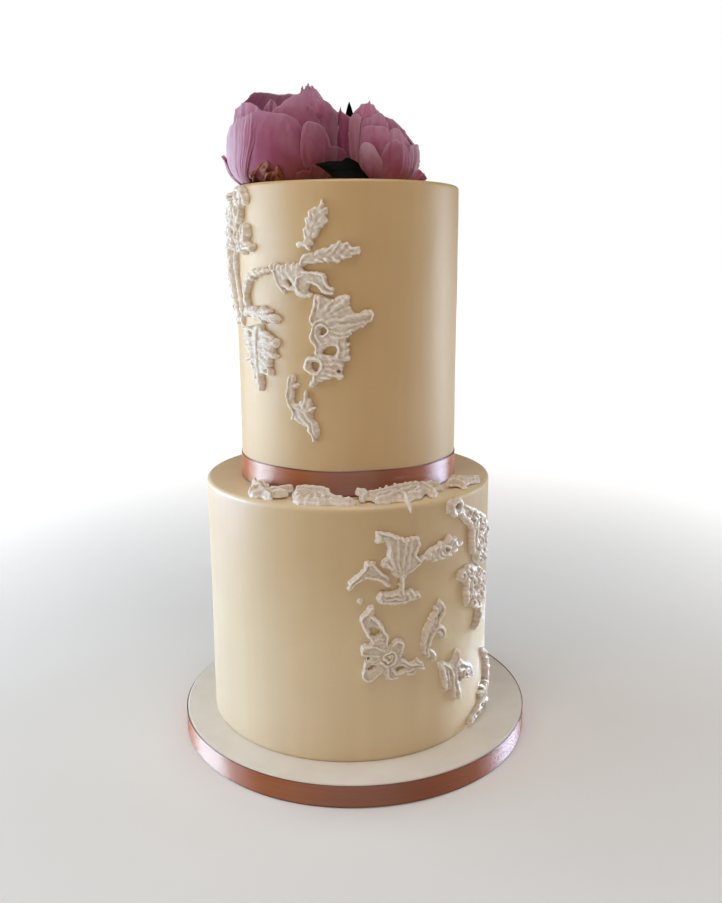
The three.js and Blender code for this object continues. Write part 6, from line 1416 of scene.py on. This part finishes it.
# ---- floor and light --------------------------------------------------------
def floor():
    """Plain pale floor that brightens into the white surround well away from the cake: painted light, the floor glows
    faintly near the cake and more with distance and towards the back.
    """
    m, nt, p = nodes_of("pale_floor")
    co = add(nt, "ShaderNodeTexCoord").outputs["Object"]
    a = noise(nt, co, 3.0, 3.0, 0.5)
    col = ramp(nt, a.outputs["Fac"], [(0.3, (0.80, 0.79, 0.775)), (0.7, (0.83, 0.82, 0.805))])
    link(nt, col.outputs["Color"], p.inputs["Base Color"])
    p.inputs["Roughness"].default_value = 0.8
    p.inputs["Specular IOR Level"].default_value = 0.15
    far = add(nt, "ShaderNodeVectorMath", operation="LENGTH")
    link(nt, co, far.inputs[0])
    glow = add(nt, "ShaderNodeMapRange", interpolation_type="SMOOTHSTEP")
    glow.inputs["From Min"].default_value = 0.16
    glow.inputs["From Max"].default_value = 1.3
    glow.inputs["To Min"].default_value = 0.10
    glow.inputs["To Max"].default_value = 1.0
    link(nt, far.outputs["Value"], glow.inputs["Value"])
    sep = add(nt, "ShaderNodeSeparateXYZ")
    link(nt, co, sep.inputs["Vector"])
    side = add(nt, "ShaderNodeMapRange", interpolation_type="SMOOTHSTEP")
    side.inputs["From Min"].default_value = -1.0
    side.inputs["From Max"].default_value = -0.15
    side.inputs["To Min"].default_value = 0.2
    side.inputs["To Max"].default_value = 1.0
    link(nt, sep.outputs["Y"], side.inputs["Value"])
    both = add(nt, "ShaderNodeMath", operation="MULTIPLY")
    link(nt, glow.outputs["Result"], both.inputs[0])
    link(nt, side.outputs["Result"], both.inputs[1])
    # painted light: the floor emits light, weak near the cake, strong far away and at the back
    p.inputs["Emission Color"].default_value = (1.0, 0.995, 0.985, 1.0)
    link(nt, both.outputs["Value"], p.inputs["Emission Strength"])
    n, radii = 96, (0.25, 0.6, 1.2, 2.4, 5.0, 12.0, 30.0)
    th = np.linspace(0, 2 * math.pi, n, endpoint=False)
    V = np.concatenate([np.stack([q * np.cos(th), q * np.sin(th), np.full(n, -0.0002)], -1) for q in (0.0001,) + radii])
    ob = make("floor", V, grid_faces(len(radii) + 1, n, wrap=True), m, mm=False)
    ob.data.flip_normals()


floor()


def area(name, loc, target, sx, sy, power, color):
    d = bpy.data.lights.new(name, "AREA")
    d.shape = "RECTANGLE"
    d.size, d.size_y = sx, sy
    d.energy = power
    d.color = color
    o = bpy.data.objects.new(name, d)
    v = Vector(target) - Vector(loc)
    o.rotation_euler = v.to_track_quat("-Z", "Y").to_euler()
    o.location = loc
    scene.collection.objects.link(o)
    return o


def polar(deg, dist, z):
    """Place by bearing from the front, positive towards +X."""
    q = math.radians(deg)
    return (dist * math.sin(q), -dist * math.cos(q), z)


area("soft_left", polar(-90, 1.3, 0.24), (0, 0, 0.18), 1.1, 0.75, 14.0, (0.55, 0.78, 1.0))
area("edge_left", polar(-119, 1.2, 0.20), (0, 0, 0.15), 0.28, 0.75, 3.2, (0.84, 0.91, 1.0))
area("soft_right", polar(108, 1.2, 0.16), (0, 0, 0.14), 0.5, 0.72, 5.4, (0.74, 0.87, 1.0))
area("soft_top", (0.0, -0.45, 1.7), (0, 0, 0.2), 1.1, 0.9, 9.9, (0.98, 0.985, 1.0))
area("warm_key", polar(-38, 1.5, 0.95), (0, 0, 0.2), 0.45, 0.45, 2.3, (1.0, 0.74, 0.44))
# two low strips that only the satin catches
satin = bpy.data.collections.new("satin")
for band in BANDS:
    satin.objects.link(band)
for name, deg, power, tone in (("strip_left", -98, 28.5, (0.67, 0.88, 1.0)), ("strip_right", 108, 32.5, (0.6, 0.75, 1.0))):
    strip = area(name, polar(deg, 1.2, 0.25), (0, 0, 0.1), 0.6, 0.8, power, tone)
    strip.light_linking.receiver_collection = satin
# low side light that only the lower tier and its trim catch
low, low_trim, low_wall = (bpy.data.collections.new(q) for q in ("low", "low_trim", "low_wall"))
low_wall.objects.link(LOWER)
low.objects.link(LOWER)
for q in ("leaf_side", "scroll_rosette", "leaf_tall", "sprig_lower", "edge_scroll", "edge_leaf", "edge_tail"):
    low.objects.link(bpy.data.objects["sugar_" + q])
    low_trim.objects.link(bpy.data.objects["sugar_" + q])
for name, deg, z, w, h, power, tone, spread, aim, group in (("graze_right", 122, 0.05, 0.06, 0.04, 0.048, (0.48, 0.65, 1.0), 8.0, (0.095, -0.03, 0.05), low),
                                                            ("graze_trim", 122, 0.16, 0.3, 0.28, 12.0, (0.62, 0.77, 1.0), 180.0, (0.0, 0.0, 0.05), low_trim),
                                                            ("graze_left", -100, 0.12, 0.6, 0.2, 6.2, (0.33, 0.47, 1.0), 180.0, (0.0, 0.0, 0.05), low_wall)):
    graze = area(name, polar(deg, 1.15, z), aim, w, h, power, tone)
    graze.data.spread = math.radians(spread)
    graze.light_linking.receiver_collection = group

# weak warm fill from the front, neutral from above and behind
world = bpy.data.worlds.new("world")
scene.world = world
world.use_nodes = True
wt = world.node_tree
wt.nodes.clear()
wo = wt.nodes.new("ShaderNodeOutputWorld")
bg_seen = wt.nodes.new("ShaderNodeBackground")
bg_seen.inputs["Color"].default_value = (1.0, 1.0, 1.0, 1.0)
bg_seen.inputs["Strength"].default_value = 1.0
bg_lit = wt.nodes.new("ShaderNodeBackground")
bg_lit.inputs["Strength"].default_value = 0.21
wc = wt.nodes.new("ShaderNodeTexCoord")
wsep = wt.nodes.new("ShaderNodeSeparateXYZ")
wt.links.new(wc.outputs["Generated"], wsep.inputs["Vector"])
wmap = wt.nodes.new("ShaderNodeMapRange")
wmap.inputs["From Min"].default_value = -1.0
wmap.inputs["From Max"].default_value = 1.0
wt.links.new(wsep.outputs["Y"], wmap.inputs["Value"])
wr = wt.nodes.new("ShaderNodeValToRGB")
wr.color_ramp.elements[0].position = 0.15
wr.color_ramp.elements[0].color = (1.0, 0.60, 0.24, 1.0)
wr.color_ramp.elements[1].position = 0.62
wr.color_ramp.elements[1].color = (0.75, 0.77, 0.8, 1.0)
wt.links.new(wmap.outputs["Result"], wr.inputs["Fac"])
wt.links.new(wr.outputs["Color"], bg_lit.inputs["Color"])
lp = wt.nodes.new("ShaderNodeLightPath")
mx = wt.nodes.new("ShaderNodeMixShader")
wt.links.new(lp.outputs["Is Camera Ray"], mx.inputs[0])
wt.links.new(bg_lit.outputs[0], mx.inputs[1])
wt.links.new(bg_seen.outputs[0], mx.inputs[2])
wt.links.new(mx.outputs[0], wo.inputs[0])
